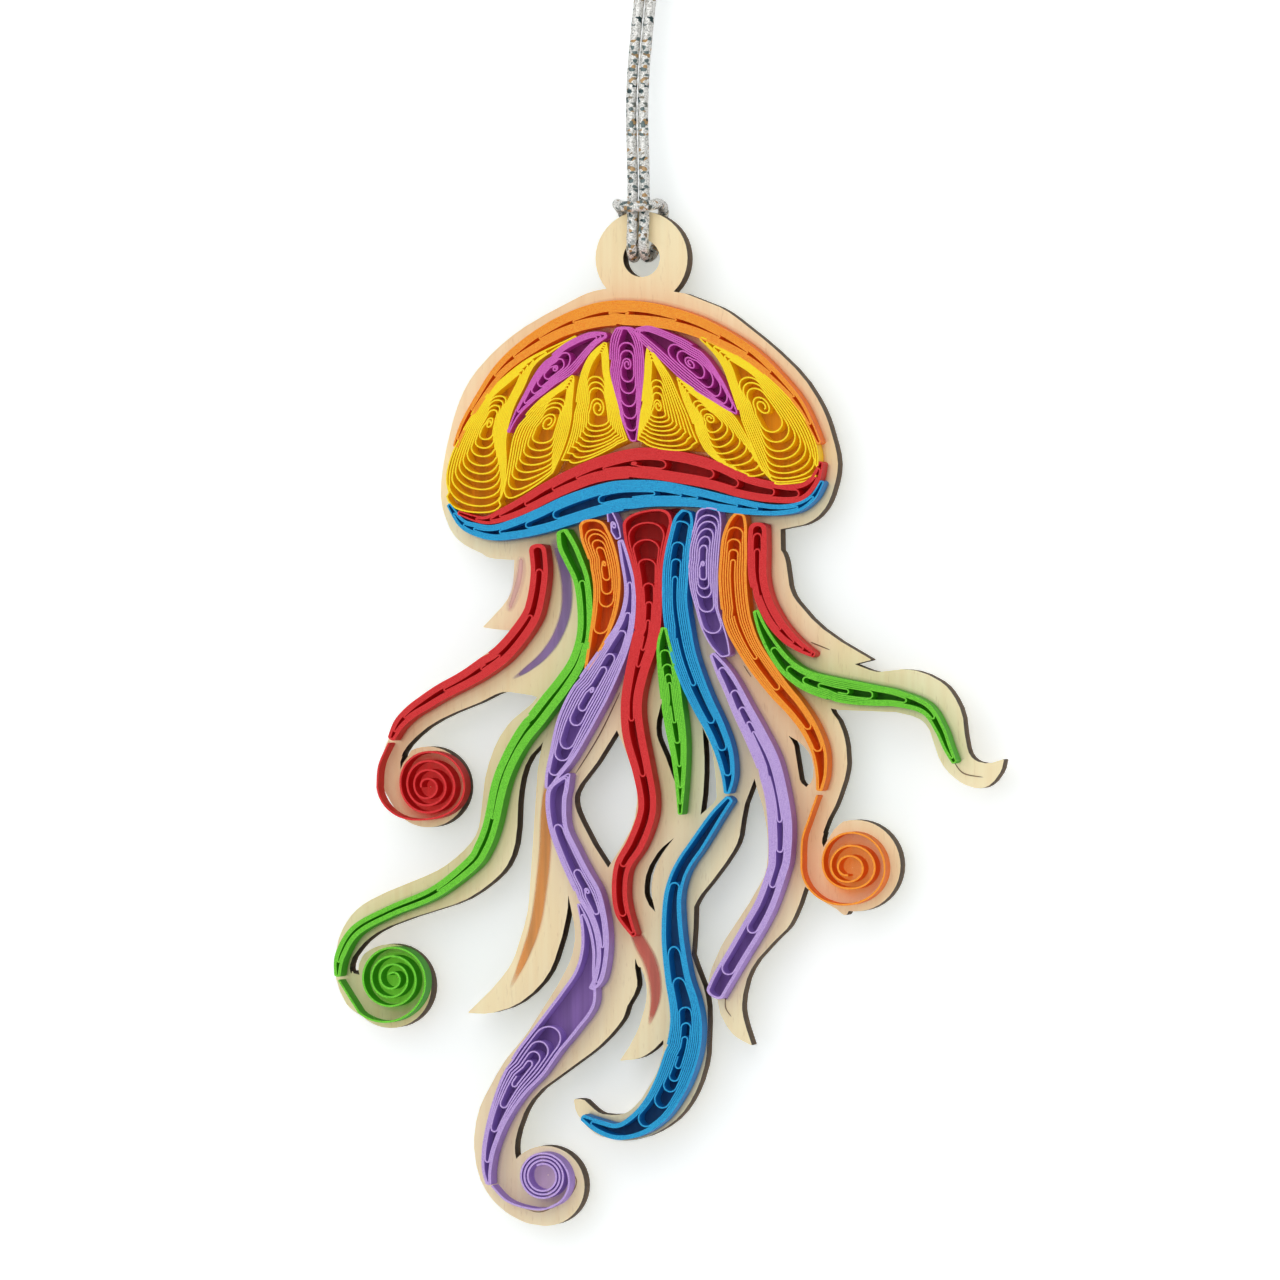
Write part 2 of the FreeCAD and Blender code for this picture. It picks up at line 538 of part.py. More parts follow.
def backing_board():
    """The plywood board: the bell, its arms and round plates, the ring and its hole."""
    hole_centre = place(*hole_square)
    faces = [edged_face(left, right) for left, right in arms]
    faces += [disc(place(*centre), radius * square) for centre, radius in plates]
    faces.append(disc(hole_centre, ring_diameter / 2))
    steps = 6 * len(bell)
    bell_line = [place(*smooth(bell, step / steps, closed=True)) for step in range(steps)]
    whole = flat_face(fewest(bell_line, board_sag)).fuse(faces)
    cuts = [edged_face(left, right) for left, right in windows]
    cuts.append(disc(hole_centre, hole_diameter / 2))
    whole = whole.cut(cuts).removeSplitter()
    print("board faces", len(whole.Faces))
    return whole.extrude(FreeCAD.Vector(0, board_thickness, 0))


# The cord, in millimetres from the hole's centre: across, back and up. Two strands rise side by
# side from a cow hitch on the ring to the loop's top, where they are knotted together.
hitch_points = [
    (-0.95, -1.6, 7.5), (-0.8, -2.3, 4.5), (-0.9, -2.65, 0.9), (-1.15, 0.0, -0.1), (-1.3, 2.7, 1.0),
    (-2.9, 2.7, 5.3), (-2.9, -1.0, 6.1), (-2.0, -3.6, 5.6), (1.2, -3.6, 5.6), (1.9, -1.0, 6.1),
    (1.8, 2.7, 5.5), (0.8, 2.7, 1.0), (0.3, 0.0, -0.1), (0.4, -2.65, 0.9), (0.5, -2.3, 4.5),
    (0.35, -1.6, 7.5),
]
strand_spacing = 1.3
strand_points = [
    (-0.95, -1.6, 7.5), (-1.1, -0.9, 10.5), (-1.45, -0.2, 15.5), (-1.3, 0.0, 21.0), (-0.6, 0.0, 28.0),
    (0.4, 0.0, 36.0), (0.2, 0.0, 46.0), (-0.65, 0.0, 57.0), (-0.65, 0.0, loop_drop),
]


def cord_tube(points, name):
    """A round cord: straight runs from point to point, joined by tangent arcs."""
    corners = [FreeCAD.Vector(x, y, z - loop_drop) for x, y, z in points]
    radii = []
    edges = []
    start = corners[0]
    for before, corner, after in zip(corners, corners[1:], corners[2:]):
        arriving, leaving = corner - before, after - corner
        half_turn = arriving.getAngle(leaving) / 2
        shorter = min(arriving.Length, leaving.Length)
        radius = 0.45 * shorter / math.tan(half_turn)
        radii.append(round(radius, 2))
        cut = radius * math.tan(half_turn)
        arriving.normalize()
        leaving.normalize()
        first, last = corner - arriving * cut, corner + leaving * cut
        bisector = (leaving - arriving).normalize()
        middle = corner + bisector * (radius / math.cos(half_turn) - radius)
        edges.append(Part.LineSegment(start, first).toShape())
        edges.append(Part.Arc(first, middle, last).toShape())
        start = last
    edges.append(Part.LineSegment(start, corners[-1]).toShape())
    route = Part.Wire(edges)
    section = Part.makeCircle(cord_diameter / 2, corners[0], corners[1] - corners[0])
    tube = route.makePipe(Part.Face(Part.Wire(section)))
    expected = math.pi * cord_diameter**2 / 4 * route.Length
    print(name, "radii", radii, "length", round(route.Length, 2))
    print(name, "volume over section times length", round(tube.Volume / expected, 4))
    return tube


def cord_knot():
    """The knot that joins the strands at the loop's top, with the cord's two cut ends."""
    radius = knot_diameter / 2
    flat = radius - knot_rim
    profile = [(0, 0), (flat, 0), (radius, knot_rim), (radius, knot_height - knot_rim),
               (flat, knot_height), (0, knot_height)]
    corners = [FreeCAD.Vector(x, 0, z) for x, z in profile]
    barrel = Part.Face(Part.makePolygon(corners + corners[:1]))
    barrel = barrel.revolve(FreeCAD.Vector(0, 0, 0), FreeCAD.Vector(0, 0, 1), 360)
    tails = []
    for side in (-1, 1):
        foot = FreeCAD.Vector(side * strand_spacing / 2, 0, knot_height - knot_rim)
        lean = FreeCAD.Vector(side * tail_lean, 0, 1)
        tails.append(Part.makeCylinder(cord_diameter / 2, knot_tail + knot_rim, foot, lean))
    return barrel.fuse(tails).removeSplitter()


for name, rib, turns, eye in bands:
    save(name, strip(Winding(rungs_of(rib), turns, eye).line()))
for name, rungs, turns, eye, foot in lobes:
    save(name, strip(Winding(rungs, turns, eye, foot).line()))
for name, lead, centre, start_angle, radii in scrolls:
    save(name, scroll(lead, centre, start_angle, radii))
save("backing_board", backing_board())

save("cord_hitch", cord_tube(hitch_points, "cord_hitch"))
save("cord_left", cord_tube(strand_points, "cord_left"))
right_strand = [(x + strand_spacing, y, z) for x, y, z in strand_points]
save("cord_right", cord_tube(right_strand, "cord_right"))
save("cord_knot", cord_knot())
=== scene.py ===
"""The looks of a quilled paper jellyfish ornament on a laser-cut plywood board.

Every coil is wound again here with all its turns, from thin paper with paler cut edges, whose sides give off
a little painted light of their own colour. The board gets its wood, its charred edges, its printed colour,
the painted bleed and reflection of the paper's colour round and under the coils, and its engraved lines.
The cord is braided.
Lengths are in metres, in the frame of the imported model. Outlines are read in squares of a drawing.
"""

from __future__ import annotations

import logging
import math
from dataclasses import dataclass
from enum import Enum

import bpy
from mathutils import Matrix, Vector, noise

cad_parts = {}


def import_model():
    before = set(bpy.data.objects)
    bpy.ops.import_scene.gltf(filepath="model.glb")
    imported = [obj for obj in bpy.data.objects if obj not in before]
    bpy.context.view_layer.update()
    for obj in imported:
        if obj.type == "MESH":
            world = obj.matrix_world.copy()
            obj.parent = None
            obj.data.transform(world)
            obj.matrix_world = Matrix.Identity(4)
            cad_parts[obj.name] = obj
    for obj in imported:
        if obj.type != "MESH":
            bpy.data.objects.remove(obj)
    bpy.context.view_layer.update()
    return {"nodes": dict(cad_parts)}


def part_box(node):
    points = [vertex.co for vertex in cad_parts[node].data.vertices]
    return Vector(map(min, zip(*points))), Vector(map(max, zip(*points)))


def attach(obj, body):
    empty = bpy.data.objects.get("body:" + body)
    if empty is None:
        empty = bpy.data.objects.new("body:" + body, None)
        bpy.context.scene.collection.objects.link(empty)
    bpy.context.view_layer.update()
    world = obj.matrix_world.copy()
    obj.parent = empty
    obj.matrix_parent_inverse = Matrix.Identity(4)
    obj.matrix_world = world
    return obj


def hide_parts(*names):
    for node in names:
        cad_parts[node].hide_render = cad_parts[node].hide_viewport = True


LOG = logging.getLogger("ornament")

Point = tuple[float, float]
Space = tuple[float, float, float]
Rung = tuple[float, float, float, float]
Rib = list[tuple[float, float, float]]
Colour = tuple[int, int, int]
InkRow = list[tuple[Point, float]]

MM = 0.001
DRAWING_SIZE = 1280.0
FIGURE_HEIGHT = 111.3 * MM
SQUARES_TALL = 1012.0
SQUARE = FIGURE_HEIGHT / SQUARES_TALL
HOLE_SQUARE = (635.9, 259.5)
LOOP_DROP = 67.0 * MM


class Paper(Enum):
    """The colours of paper: sRGB of the wall, of the cut edge, and of the print under the coil, which also
    carries painted light that the paper reflects onto the board.
    """

    YELLOW = ((255, 206, 0), (255, 232, 30), (250, 184, 14))
    ORANGE = ((242, 112, 6), (253, 172, 52), (238, 120, 14))
    MAGENTA = ((200, 60, 170), (218, 112, 196), (176, 60, 146))
    RED = ((204, 12, 18), (226, 56, 58), (190, 14, 14))
    BLUE = ((0, 120, 190), (40, 178, 228), (0, 92, 146))
    LILAC = ((166, 132, 210), (206, 180, 234), (160, 124, 194))
    GREEN = ((60, 170, 10), (128, 224, 62), (72, 156, 24))

    @property
    def slot(self) -> str:
        """The name that this paper's materials start with."""
        return "paper_" + self.name.lower()

    @property
    def wall(self) -> Colour:
        """The colour of its flat sides."""
        return self.value[0]

    @property
    def edge(self) -> Colour:
        """The colour of its cut edges."""
        return self.value[1]

    @property
    def print_and_bleed(self) -> Colour:
        """The colour under it on the board: print that also carries painted light reflected from its paper.
        """
        return self.value[2]


def linear(rgb: Colour) -> tuple[float, float, float, float]:
    """Turn an sRGB colour into a linear one.

    Args:
        rgb: The colour, each part from 0 to 255.

    Returns:
        The linear colour with an alpha of 1.
    """
    parts = [value / 255 for value in rgb]
    line = [p / 12.92 if p <= 0.04045 else ((p + 0.055) / 1.055) ** 2.4 for p in parts]
    return (line[0], line[1], line[2], 1.0)


def place(x: float, y: float) -> Point:
    """Turn a point of the squared drawing into the frame.

    Args:
        x: Squares across.
        y: Squares down.

    Returns:
        Across and up, in metres.
    """
    return ((x - HOLE_SQUARE[0]) * SQUARE, -LOOP_DROP - (y - HOLE_SQUARE[1]) * SQUARE)


def mix(a: Point, b: Point, share: float) -> Point:
    """Find the point a share of the way from a to b.

    Args:
        a: The first point.
        b: The second point.
        share: How far along, from 0 to 1.

    Returns:
        The point.
    """
    return (a[0] + (b[0] - a[0]) * share, a[1] + (b[1] - a[1]) * share)


def smooth(rows: list[tuple[float, ...]], share: float) -> tuple[float, ...]:
    """Find a row on the smooth line through the rows.

    Args:
        rows: The rows of numbers that the line passes through.
        share: How far along their list, from 0 to 1.

    Returns:
        The row there.
    """
    count = len(rows) - 1
    position = min(max(share, 0.0), 1.0) * count
    index = min(int(position), count - 1)
    t = position - index
    four = (rows[min(max(index + k, 0), count)] for k in (-1, 0, 1, 2))
    return tuple(
        0.5 * (2 * b + (c - a) * t + (2 * a - 5 * b + 4 * c - d) * t**2 + (3 * b - a - 3 * c + d) * t**3)
        for a, b, c, d in zip(*four)
    )


def rungs_of(rib: Rib) -> list[Rung]:
    """Turn a band's rib into rungs.

    Args:
        rib: Points down the middle of the band, each with the half width there.

    Returns:
        The rungs, each from the band's left to its right edge.
    """
    rungs = []
    for index, (x, y, half) in enumerate(rib):
        ahead, behind = rib[min(index + 1, len(rib) - 1)], rib[max(index - 1, 0)]
        run = math.dist(ahead[:2], behind[:2])
        across, down = half * (ahead[1] - behind[1]) / run, half * (ahead[0] - behind[0]) / run
        rungs.append((x - across, y + down, x + across, y - down))
    return rungs


# Long bands: each row is a point of the band's rib and its half width there
CRESCENT: Rib = [
    (452, 447, 2.5), (461, 425, 4), (478, 397, 5), (498, 370, 6.5), (525, 348, 8.5), (560, 328, 10),
    (600, 316, 12), (640, 315.5, 12), (680, 323, 10.5), (712, 335, 9.5), (750, 356, 7.5),
    (780, 382, 5.5), (803, 409, 4), (821, 445, 2),
]
RED_RIM: Rib = [
    (455, 513, 2), (480, 520.5, 3.5), (500, 515.5, 6.5), (525, 504, 8.5), (545, 493, 9.5),
    (570, 481, 10.5), (600, 470, 12), (640, 464, 15), (680, 468.5, 15.5), (715, 476.5, 14),
    (745, 487.5, 11.5), (775, 493.5, 10), (800, 494, 8.5), (816, 482, 5), (823, 464, 2),
]
BLUE_RIM: Rib = [
    (445, 505, 2), (457, 522, 4), (470, 529, 6), (490, 533, 7.5), (515, 528.5, 10), (540, 521, 12.5),
    (565, 511.5, 14.5), (591, 503, 15), (616, 497, 15), (642, 494.5, 13.5), (667, 495, 12),
    (700, 499, 9), (720, 503.5, 8.5), (740, 507, 7.5), (760, 510, 6), (780, 511, 5), (800, 508, 4.5),
    (815, 498, 3), (824, 483, 2),
]
RED_LEFT: Rib = [
    (535, 545, 8.5), (537.5, 572, 8.5), (533.5, 601, 8.5), (526, 621, 9), (503, 650, 9.5),
    (481, 667, 9.5), (460, 680, 8.5), (437, 692, 8), (421, 702, 7.5), (406, 712, 6.5), (394, 724, 5.5),
    (386, 739, 3.5),
]
GREEN_LEFT: Rib = [
    (560.5, 531, 5.5), (565, 545, 9), (572, 560, 9), (580.5, 581, 8), (584, 610, 7.5), (583, 637, 7.5),
    (575.5, 662, 8), (562, 683, 8.5), (547, 702, 9), (533, 720, 9), (521, 735, 8.5), (508, 757, 8),
    (497, 784, 8), (488, 824, 7.5), (479, 847, 7.5), (467, 864, 7), (430, 892, 6), (385, 911, 5.5),
    (350, 930, 5.5), (334, 955, 5), (331, 976, 3),
]
LILAC_LOOP: Rib = [
    (609, 513, 3), (613, 526, 5), (618, 539, 3),
]
LILAC_UPPER: Rib = [
    (620, 541, 3), (624.5, 560, 4.5), (629.5, 585, 5.5), (629, 605, 6.5), (625, 625, 9),
    (616.5, 645, 12.5), (605, 666, 15.5), (591.5, 689, 18), (580, 709, 18.5), (570, 730, 17),
    (560, 755, 12.5), (550.5, 775, 7), (546, 788, 3),
]
GREEN_LEAF: Rib = [
    (664, 628, 3), (664, 645, 7), (667, 665, 9.5), (670, 686, 10.5), (672.5, 706, 10.5), (676, 729, 10),
    (679, 752, 8), (680.5, 782, 5), (680.5, 813, 2),
]
BLUE_UPPER: Rib = [
    (687, 512, 5), (684.5, 520, 9.5), (681.5, 532, 11), (678, 551, 12), (676, 571, 13),
    (675, 600, 12.5), (678, 627, 13), (684, 655, 12.5), (693.5, 682, 12), (704, 705, 11),
    (716, 728, 10), (725, 752, 9), (729, 775, 6.5), (728, 792, 3),
]
BLUE_LOWER: Rib = [
    (731, 797, 4), (718, 813, 6), (707, 829, 7), (697, 844, 7.5), (685, 861, 7.5), (677, 878, 8),
    (672.5, 900, 9), (673, 937, 11), (678, 975, 12.5), (684, 1000, 14.5), (686.5, 1021, 16),
    (684, 1044, 17), (677, 1067, 17), (668, 1087, 16), (655, 1107, 14.5), (637, 1122, 11.5),
    (617, 1129, 8), (598, 1124, 6.5), (581, 1115, 3),
]
LILAC_RIGHT: Rib = [
    (713, 654, 3), (723.5, 671, 7), (732, 686, 8.5), (743, 709, 10), (755, 732, 11), (769, 762, 12),
    (777.5, 793, 11.5), (781.5, 824, 12), (781, 855, 11), (778, 870, 10), (767, 901, 10),
    (754, 925, 10.5), (739, 950, 10), (724, 975, 10), (714, 994, 9),
]
ORANGE_RIGHT: Rib = [
    (741, 515, 5), (738.5, 524, 9.5), (735.5, 540, 12.5), (734.5, 557, 13.5), (733.5, 576, 14),
    (734.5, 595, 14), (737, 614, 14), (741, 628, 13.5), (750, 647, 12), (764, 668, 11.5),
    (781, 690, 10.5), (797, 708, 9.5), (811, 728, 8.5), (820.5, 750, 7.5), (823, 772, 5.5),
    (821, 789, 3),
]
RED_RIGHT: Rib = [
    (759, 524, 8.5), (758.5, 550, 9.5), (759, 578, 9), (765, 600, 8), (775, 620, 8), (788, 636, 7),
    (802, 647, 5), (816, 655, 2.5),
]
GREEN_RIGHT: Rib = [
    (757, 611, 3), (764, 630, 5), (776, 651, 7), (790, 668, 8.5), (808, 680, 10), (831, 687.5, 11.5),
    (854, 692, 11.5), (877, 695, 10), (900, 698, 8), (928, 708, 6), (942, 728, 5), (950, 747, 4),
    (957, 761, 2.5),
]
RED_CENTRE_FOOT: Rib = [
    (635.5, 676, 11), (631, 705, 10.5), (633.5, 735, 11), (642, 770, 9.5), (647, 798, 9), (645, 818, 9),
    (635, 843, 9), (622, 865, 8), (619, 890, 7.5), (622.5, 912, 7), (634, 934, 2.5),
]

# Bands given by their rungs, from the left to the right edge
RED_CENTRE: list[Rung] = [
    (625, 514, 676, 508), (622.5, 525, 672, 525), (625, 544, 667, 544), (630, 560, 663.5, 562),
    (634, 578, 662, 578), (636, 600, 662, 600), (635, 622, 661, 622), (631.5, 640, 658, 643),
] + rungs_of(RED_CENTRE_FOOT)
LILAC_MIDDLE: list[Rung] = [
    (566, 773, 569, 774), (548, 785, 567, 789), (544, 800, 565, 800), (547, 826, 566, 825),
    (556, 853, 576, 847), (567, 878, 588, 870), (576, 896, 599, 889), (588, 916, 605, 911),
    (594.5, 936, 608, 934), (596, 956, 607, 957), (592.5, 976, 602, 979), (588, 986, 593, 988),
]
LILAC_LOWER: list[Rung] = [
    (576, 903, 579, 903), (580, 925, 588.5, 922), (580, 948, 594, 947), (574, 969, 594, 973),
    (562, 987, 594, 1003), (546, 1008, 577, 1028), (529, 1030, 558, 1051), (513, 1051, 542, 1073),
    (498, 1078, 522, 1094), (487, 1110, 505, 1119), (480, 1142, 493, 1147), (479, 1166, 488.5, 1169),
    (483, 1182, 488.5, 1183),
]


@dataclass
class Coil:
    """One coiled strip: where it lies, its paper, and where its turns fold.

    Attributes:
        node: The CAD node that it replaces.
        paper: Its colour.
        rungs: The rungs that it is wound in.
        heads: Points where the inner turns fold at the head, the outermost first.
        toes: Points where the inner turns fold at the foot, the outermost first.
        spread: The share of the half width that the turns take up, the rest being open.
        lean: Where the eye lies across, from -1 at the left edge to 1 at the right.
        foot: How round the foot is, from 0, flat, to 1.
        bundle: How many more outer turns lie close together all the way round.
        crowd: The share of the turns that the band has room for at its head.
        opening: The share of the length at which it has room for them all.
    """

    node: str
    paper: Paper
    rungs: list[Rung]
    heads: list[Point]
    toes: list[Point]
    spread: float = 0.6
    lean: float = 0.0
    foot: float = 1.0
    bundle: int = 2
    crowd: float = 1.0
    opening: float = 0.5


@dataclass
class Lobe:
    """One teardrop coil of the bell.

    Attributes:
        node: The CAD node that it replaces.
        paper: Its colour.
        rungs: Its rungs from the narrow end down.
        eye: The eye's place, and its radius, in squares.
        turns: How many turns it has.
        foot: How round the foot is.
    """

    node: str
    paper: Paper
    rungs: list[Rung]
    eye: tuple[float, float, float]
    turns: int
    foot: float = 1.0


@dataclass
class Scroll:
    """One loose strip that ends in a spiral.

    Attributes:
        node: The CAD node that it replaces.
        paper: Its colour.
        lead: The points of its lead-in.
        centre: The spiral's centre.
        start_angle: The direction, in degrees, in which the spiral starts.
        radii: Its radius at each quarter turn.
        painted_reflection: How much of its paper's colour is painted on the board under it as a painted
            reflection.
    """

    node: str
    paper: Paper
    lead: list[Point]
    centre: Point
    start_angle: float
    radii: list[float]
    painted_reflection: float = 0.8


BANDS = [
    Coil("orange_crescent", Paper.ORANGE, rungs_of(CRESCENT),
         [(466, 410), (488, 388), (516, 365), (542, 346), (565, 333), (583, 322), (600, 318)],
         [(805, 415), (785, 395), (764, 372), (737, 349), (700, 330), (668, 322), (640, 314)], 0.8, bundle=1),
    Coil("red_rim", Paper.RED, rungs_of(RED_RIM),
         [(492, 521), (525, 510), (555, 497), (578, 487), (603, 472)],
         [(800, 492), (775, 497), (740, 485), (713, 480), (665, 468)], 0.55),
    Coil("blue_rim", Paper.BLUE, rungs_of(BLUE_RIM),
         [(465, 532), (498, 537), (524, 530), (552, 517), (597, 501)],
         [(785, 508), (757, 508), (727, 505), (703, 500), (655, 493)], 0.5),
    Coil("red_left_tentacle", Paper.RED, rungs_of(RED_LEFT),
         [(537, 570), (528, 615), (495, 652)], [(398, 720), (440, 690), (475, 665)], 0.55),
    Coil("green_left_tentacle", Paper.GREEN, rungs_of(GREEN_LEFT),
         [(580, 582), (584, 612), (573, 662)], [(335, 955), (430, 893), (493, 790)], 0.5),
    Coil("lilac_loop", Paper.LILAC, rungs_of(LILAC_LOOP), [], [], bundle=0),
    Coil("lilac_upper_tentacle", Paper.LILAC, rungs_of(LILAC_UPPER),
         [(626, 583), (626, 613), (625, 632), (613, 655), (605, 668)],
         [(553, 775), (560, 760), (567, 750), (577, 727), (583, 712)], 0.75, bundle=1),
    Coil("lilac_middle_tentacle", Paper.LILAC, LILAC_MIDDLE,
         [(553, 825), (569, 872)], [(595, 960), (590, 915)], 0.5),
    Coil("lilac_lower_tentacle", Paper.LILAC, LILAC_LOWER,
         [(556, 1028), (545, 1043), (537, 1052), (530, 1060)],
         [(482, 1160), (490, 1130), (500, 1105), (512, 1085)], 0.8, bundle=1),
    Coil("red_centre_tentacle", Paper.RED, RED_CENTRE,
         [(648, 524), (648, 540), (648, 560), (648, 583), (648, 602), (648, 620)],
         [(623, 915), (622, 865), (640, 777), (630, 720), (640, 667), (646, 650)], 0.75, bundle=1),
    Coil("green_leaf", Paper.GREEN, rungs_of(GREEN_LEAF),
         [(666, 650), (668, 664), (670, 674), (671, 682)],
         [(682, 790), (680, 765), (678, 742), (676, 722)], 0.8, bundle=1),
    Coil("blue_upper_tentacle", Paper.BLUE, rungs_of(BLUE_UPPER),
         [(686, 523), (680, 543), (675, 560), (674, 577)],
         [(727, 775), (722, 750), (712, 722), (695, 685)], 0.75, bundle=1),
    Coil("blue_lower_tentacle", Paper.BLUE, rungs_of(BLUE_LOWER),
         [(672, 880), (672, 945), (676, 975), (682, 1005), (684, 1020), (685, 1034)],
         [(590, 1120), (640, 1120), (660, 1105), (670, 1090), (675, 1078), (679, 1066)], 0.8, bundle=1),
    Coil("lilac_right_tentacle", Paper.LILAC, rungs_of(LILAC_RIGHT),
         [(722, 668), (735, 690), (745, 706), (752, 720), (757, 730), (761, 739)],
         [(727, 972), (752, 930), (773, 885), (783, 850), (783, 820), (781, 798)], 0.85, bundle=1),
    Coil("orange_right_tentacle", Paper.ORANGE, rungs_of(ORANGE_RIGHT),
         [(737, 528), (734, 540), (733, 550), (732, 560)],
         [(819, 750), (811, 728), (783, 687), (760, 656)], 0.8, bundle=1),
    Coil("red_right_tentacle", Paper.RED, rungs_of(RED_RIGHT),
         [(758, 534), (758, 550), (758, 566)], [(800, 646), (785, 634), (770, 612)], 0.7),
    Coil("orange_leaf", Paper.ORANGE, [
        (578, 521, 601, 520), (580, 540, 611, 538), (588, 562, 618, 562), (592.5, 585, 620, 585),
        (592, 608, 617, 610), (589, 632, 608.5, 634), (586, 652, 597, 656), (583.5, 668, 587, 670),
    ], [(595, 529), (596, 534), (598, 540), (600, 547)],
        [(602, 634), (606, 607), (607, 594), (607, 580)], 0.7, bundle=1),
    Coil("lilac_coil_top", Paper.LILAC, [
        (698, 509, 720, 509), (695, 525, 722, 525), (688, 550, 720, 550), (689, 571, 718.5, 571),
        (691, 589, 718.5, 589), (696.5, 610, 719, 608), (702, 628, 724, 624), (711, 645, 729, 641),
        (722, 657, 731, 655),
    ], [(708, 516), (707, 522), (706, 529), (705, 537), (704, 546)],
        [(714, 634), (708, 612), (705, 598), (704, 589), (704, 580)], 0.75, bundle=0),
    Coil("green_right_tentacle", Paper.GREEN, rungs_of(GREEN_RIGHT),
         [(773, 648), (790, 667), (805, 678), (820, 685)],
         [(936, 718), (908, 699), (875, 695), (850, 692)], 0.75, bundle=1),
]

LOBES = [
    Lobe("yellow_lobe_1", Paper.YELLOW, [
        (574, 337.5, 575, 339), (548, 349, 552, 352), (524, 361, 533, 366), (500, 379, 522, 388),
        (476, 402, 511, 410), (458, 434, 504, 438), (446, 461, 504, 467), (443, 485, 500, 495),
        (453, 511, 487, 514),
    ], (490, 426, 6), 11, 0.7),
    Lobe("yellow_lobe_2", Paper.YELLOW, [
        (571, 376, 573, 380), (557, 387, 572, 394), (540, 399, 571, 405), (524, 415, 570, 420),
        (512, 435, 566, 438), (507, 458, 559, 457), (503, 482, 553, 470), (497, 507, 548, 478.5),
    ], (548, 425, 5.5), 10, 0.5),
    Lobe("yellow_lobe_3", Paper.YELLOW, [
        (603, 344, 606, 345), (590, 355, 608, 358), (582, 369, 609, 374), (577, 387, 613, 390),
        (574, 408, 618, 408), (571, 430, 622, 426), (564, 452, 626, 438), (553, 474, 628, 443),
    ], (598, 409, 6), 10, 0.4),
    Lobe("yellow_lobe_4", Paper.YELLOW, [
        (647, 348, 650, 350), (645, 361, 661, 364), (644, 379, 671, 379), (642, 397, 679, 397),
        (640, 417, 687, 415), (638, 434, 694, 434), (637, 448, 703, 454),
    ], (653, 409, 6), 9, 0.4),
    Lobe("yellow_lobe_5", Paper.YELLOW, [
        (677, 379, 680, 381), (681, 394, 694, 390), (686, 408, 706, 398), (692, 422, 719, 406),
        (698, 437, 733, 415), (706, 452, 743, 429), (718, 462, 752, 446), (735, 470, 759, 462),
        (754, 478, 766, 475),
    ], (710, 421, 6), 9, 0.6),
    Lobe("yellow_lobe_6", Paper.YELLOW, [
        (700, 341, 703, 339), (714, 355, 722, 348), (724, 370, 742, 360), (731, 389, 764, 375),
        (739, 412, 785, 394), (748, 435, 802, 414), (757, 457, 814, 435), (765, 473, 820, 456),
        (775, 482.5, 818, 474), (786, 485.5, 808, 483),
    ], (763, 409, 6), 11, 0.8),
    Lobe("magenta_petal_1", Paper.MAGENTA, [
        (605, 334, 606, 339), (588, 334, 593, 349), (565, 344, 574, 372), (550, 356, 563, 380),
        (538, 368, 553, 386), (530, 380, 543, 394), (523, 393, 532, 402), (513, 412, 517, 416),
        (505, 432, 507, 433),
    ], (552, 368, 4.5), 7),
    Lobe("magenta_petal_2", Paper.MAGENTA, [
        (617, 329, 631, 329), (611, 338, 640, 339), (609, 356, 643.5, 356), (610.5, 377, 643.5, 377),
        (615.5, 400, 641, 400), (622, 423, 639, 423), (630, 442, 636, 442),
    ], (627, 366, 5), 7),
    Lobe("magenta_petal_3", Paper.MAGENTA, [
        (636, 330, 634, 335), (650, 328, 641, 344), (670, 335, 658, 359), (691, 345, 677, 377),
        (708, 360, 696, 392), (722, 380, 714, 403), (732, 399, 727, 411), (738, 413, 737, 416),
    ], (692, 365, 4.5), 7),
]

SCROLLS = [
    Scroll("red_left_scroll", Paper.RED, [(384, 743), (374, 765)], (421, 787), 180,
           [49, 32, 40, 35, 25, 25, 30, 26, 18, 18, 21, 17, 11, 11, 12, 8, 4]),
    Scroll("green_left_scroll", Paper.GREEN, [(332.5, 980)], (387, 978), 225,
           [48, 37, 32, 30, 29, 26, 23, 21.5, 20, 17, 15, 13, 11, 9, 7, 5]),
    Scroll("lilac_scroll", Paper.LILAC, [(489, 1184), (503, 1198), (521, 1205), (541, 1207)],
           (541, 1174), 300,
           [31, 24, 22.5, 22, 21.5, 20.2, 19, 18.5, 18, 16.7, 15.5, 15, 14.5, 13.2, 12], 0.45),
    Scroll("orange_right_scroll", Paper.ORANGE, [(819, 794), (810, 819), (804, 838)], (850, 866), 180,
           [47, 36, 37, 35, 25, 20, 27, 22, 17, 13.5, 15, 12, 10, 7], 0.4),
]


@dataclass
class Ribbon:
    """A streak of printed colour or an engraved line on the board's front.

    Attributes:
        name: The piece's name.
        colour: Its sRGB colour.
        points: Its points as they appear on the board's front, each with the half width there.
        strength: How much of its colour covers the wood at its middle.
        edge: How soft its edges are, from 0, sharp, to 1.
    """

    name: str
    colour: Colour
    points: Rib
    strength: float = 0.9
    edge: float = 0.6


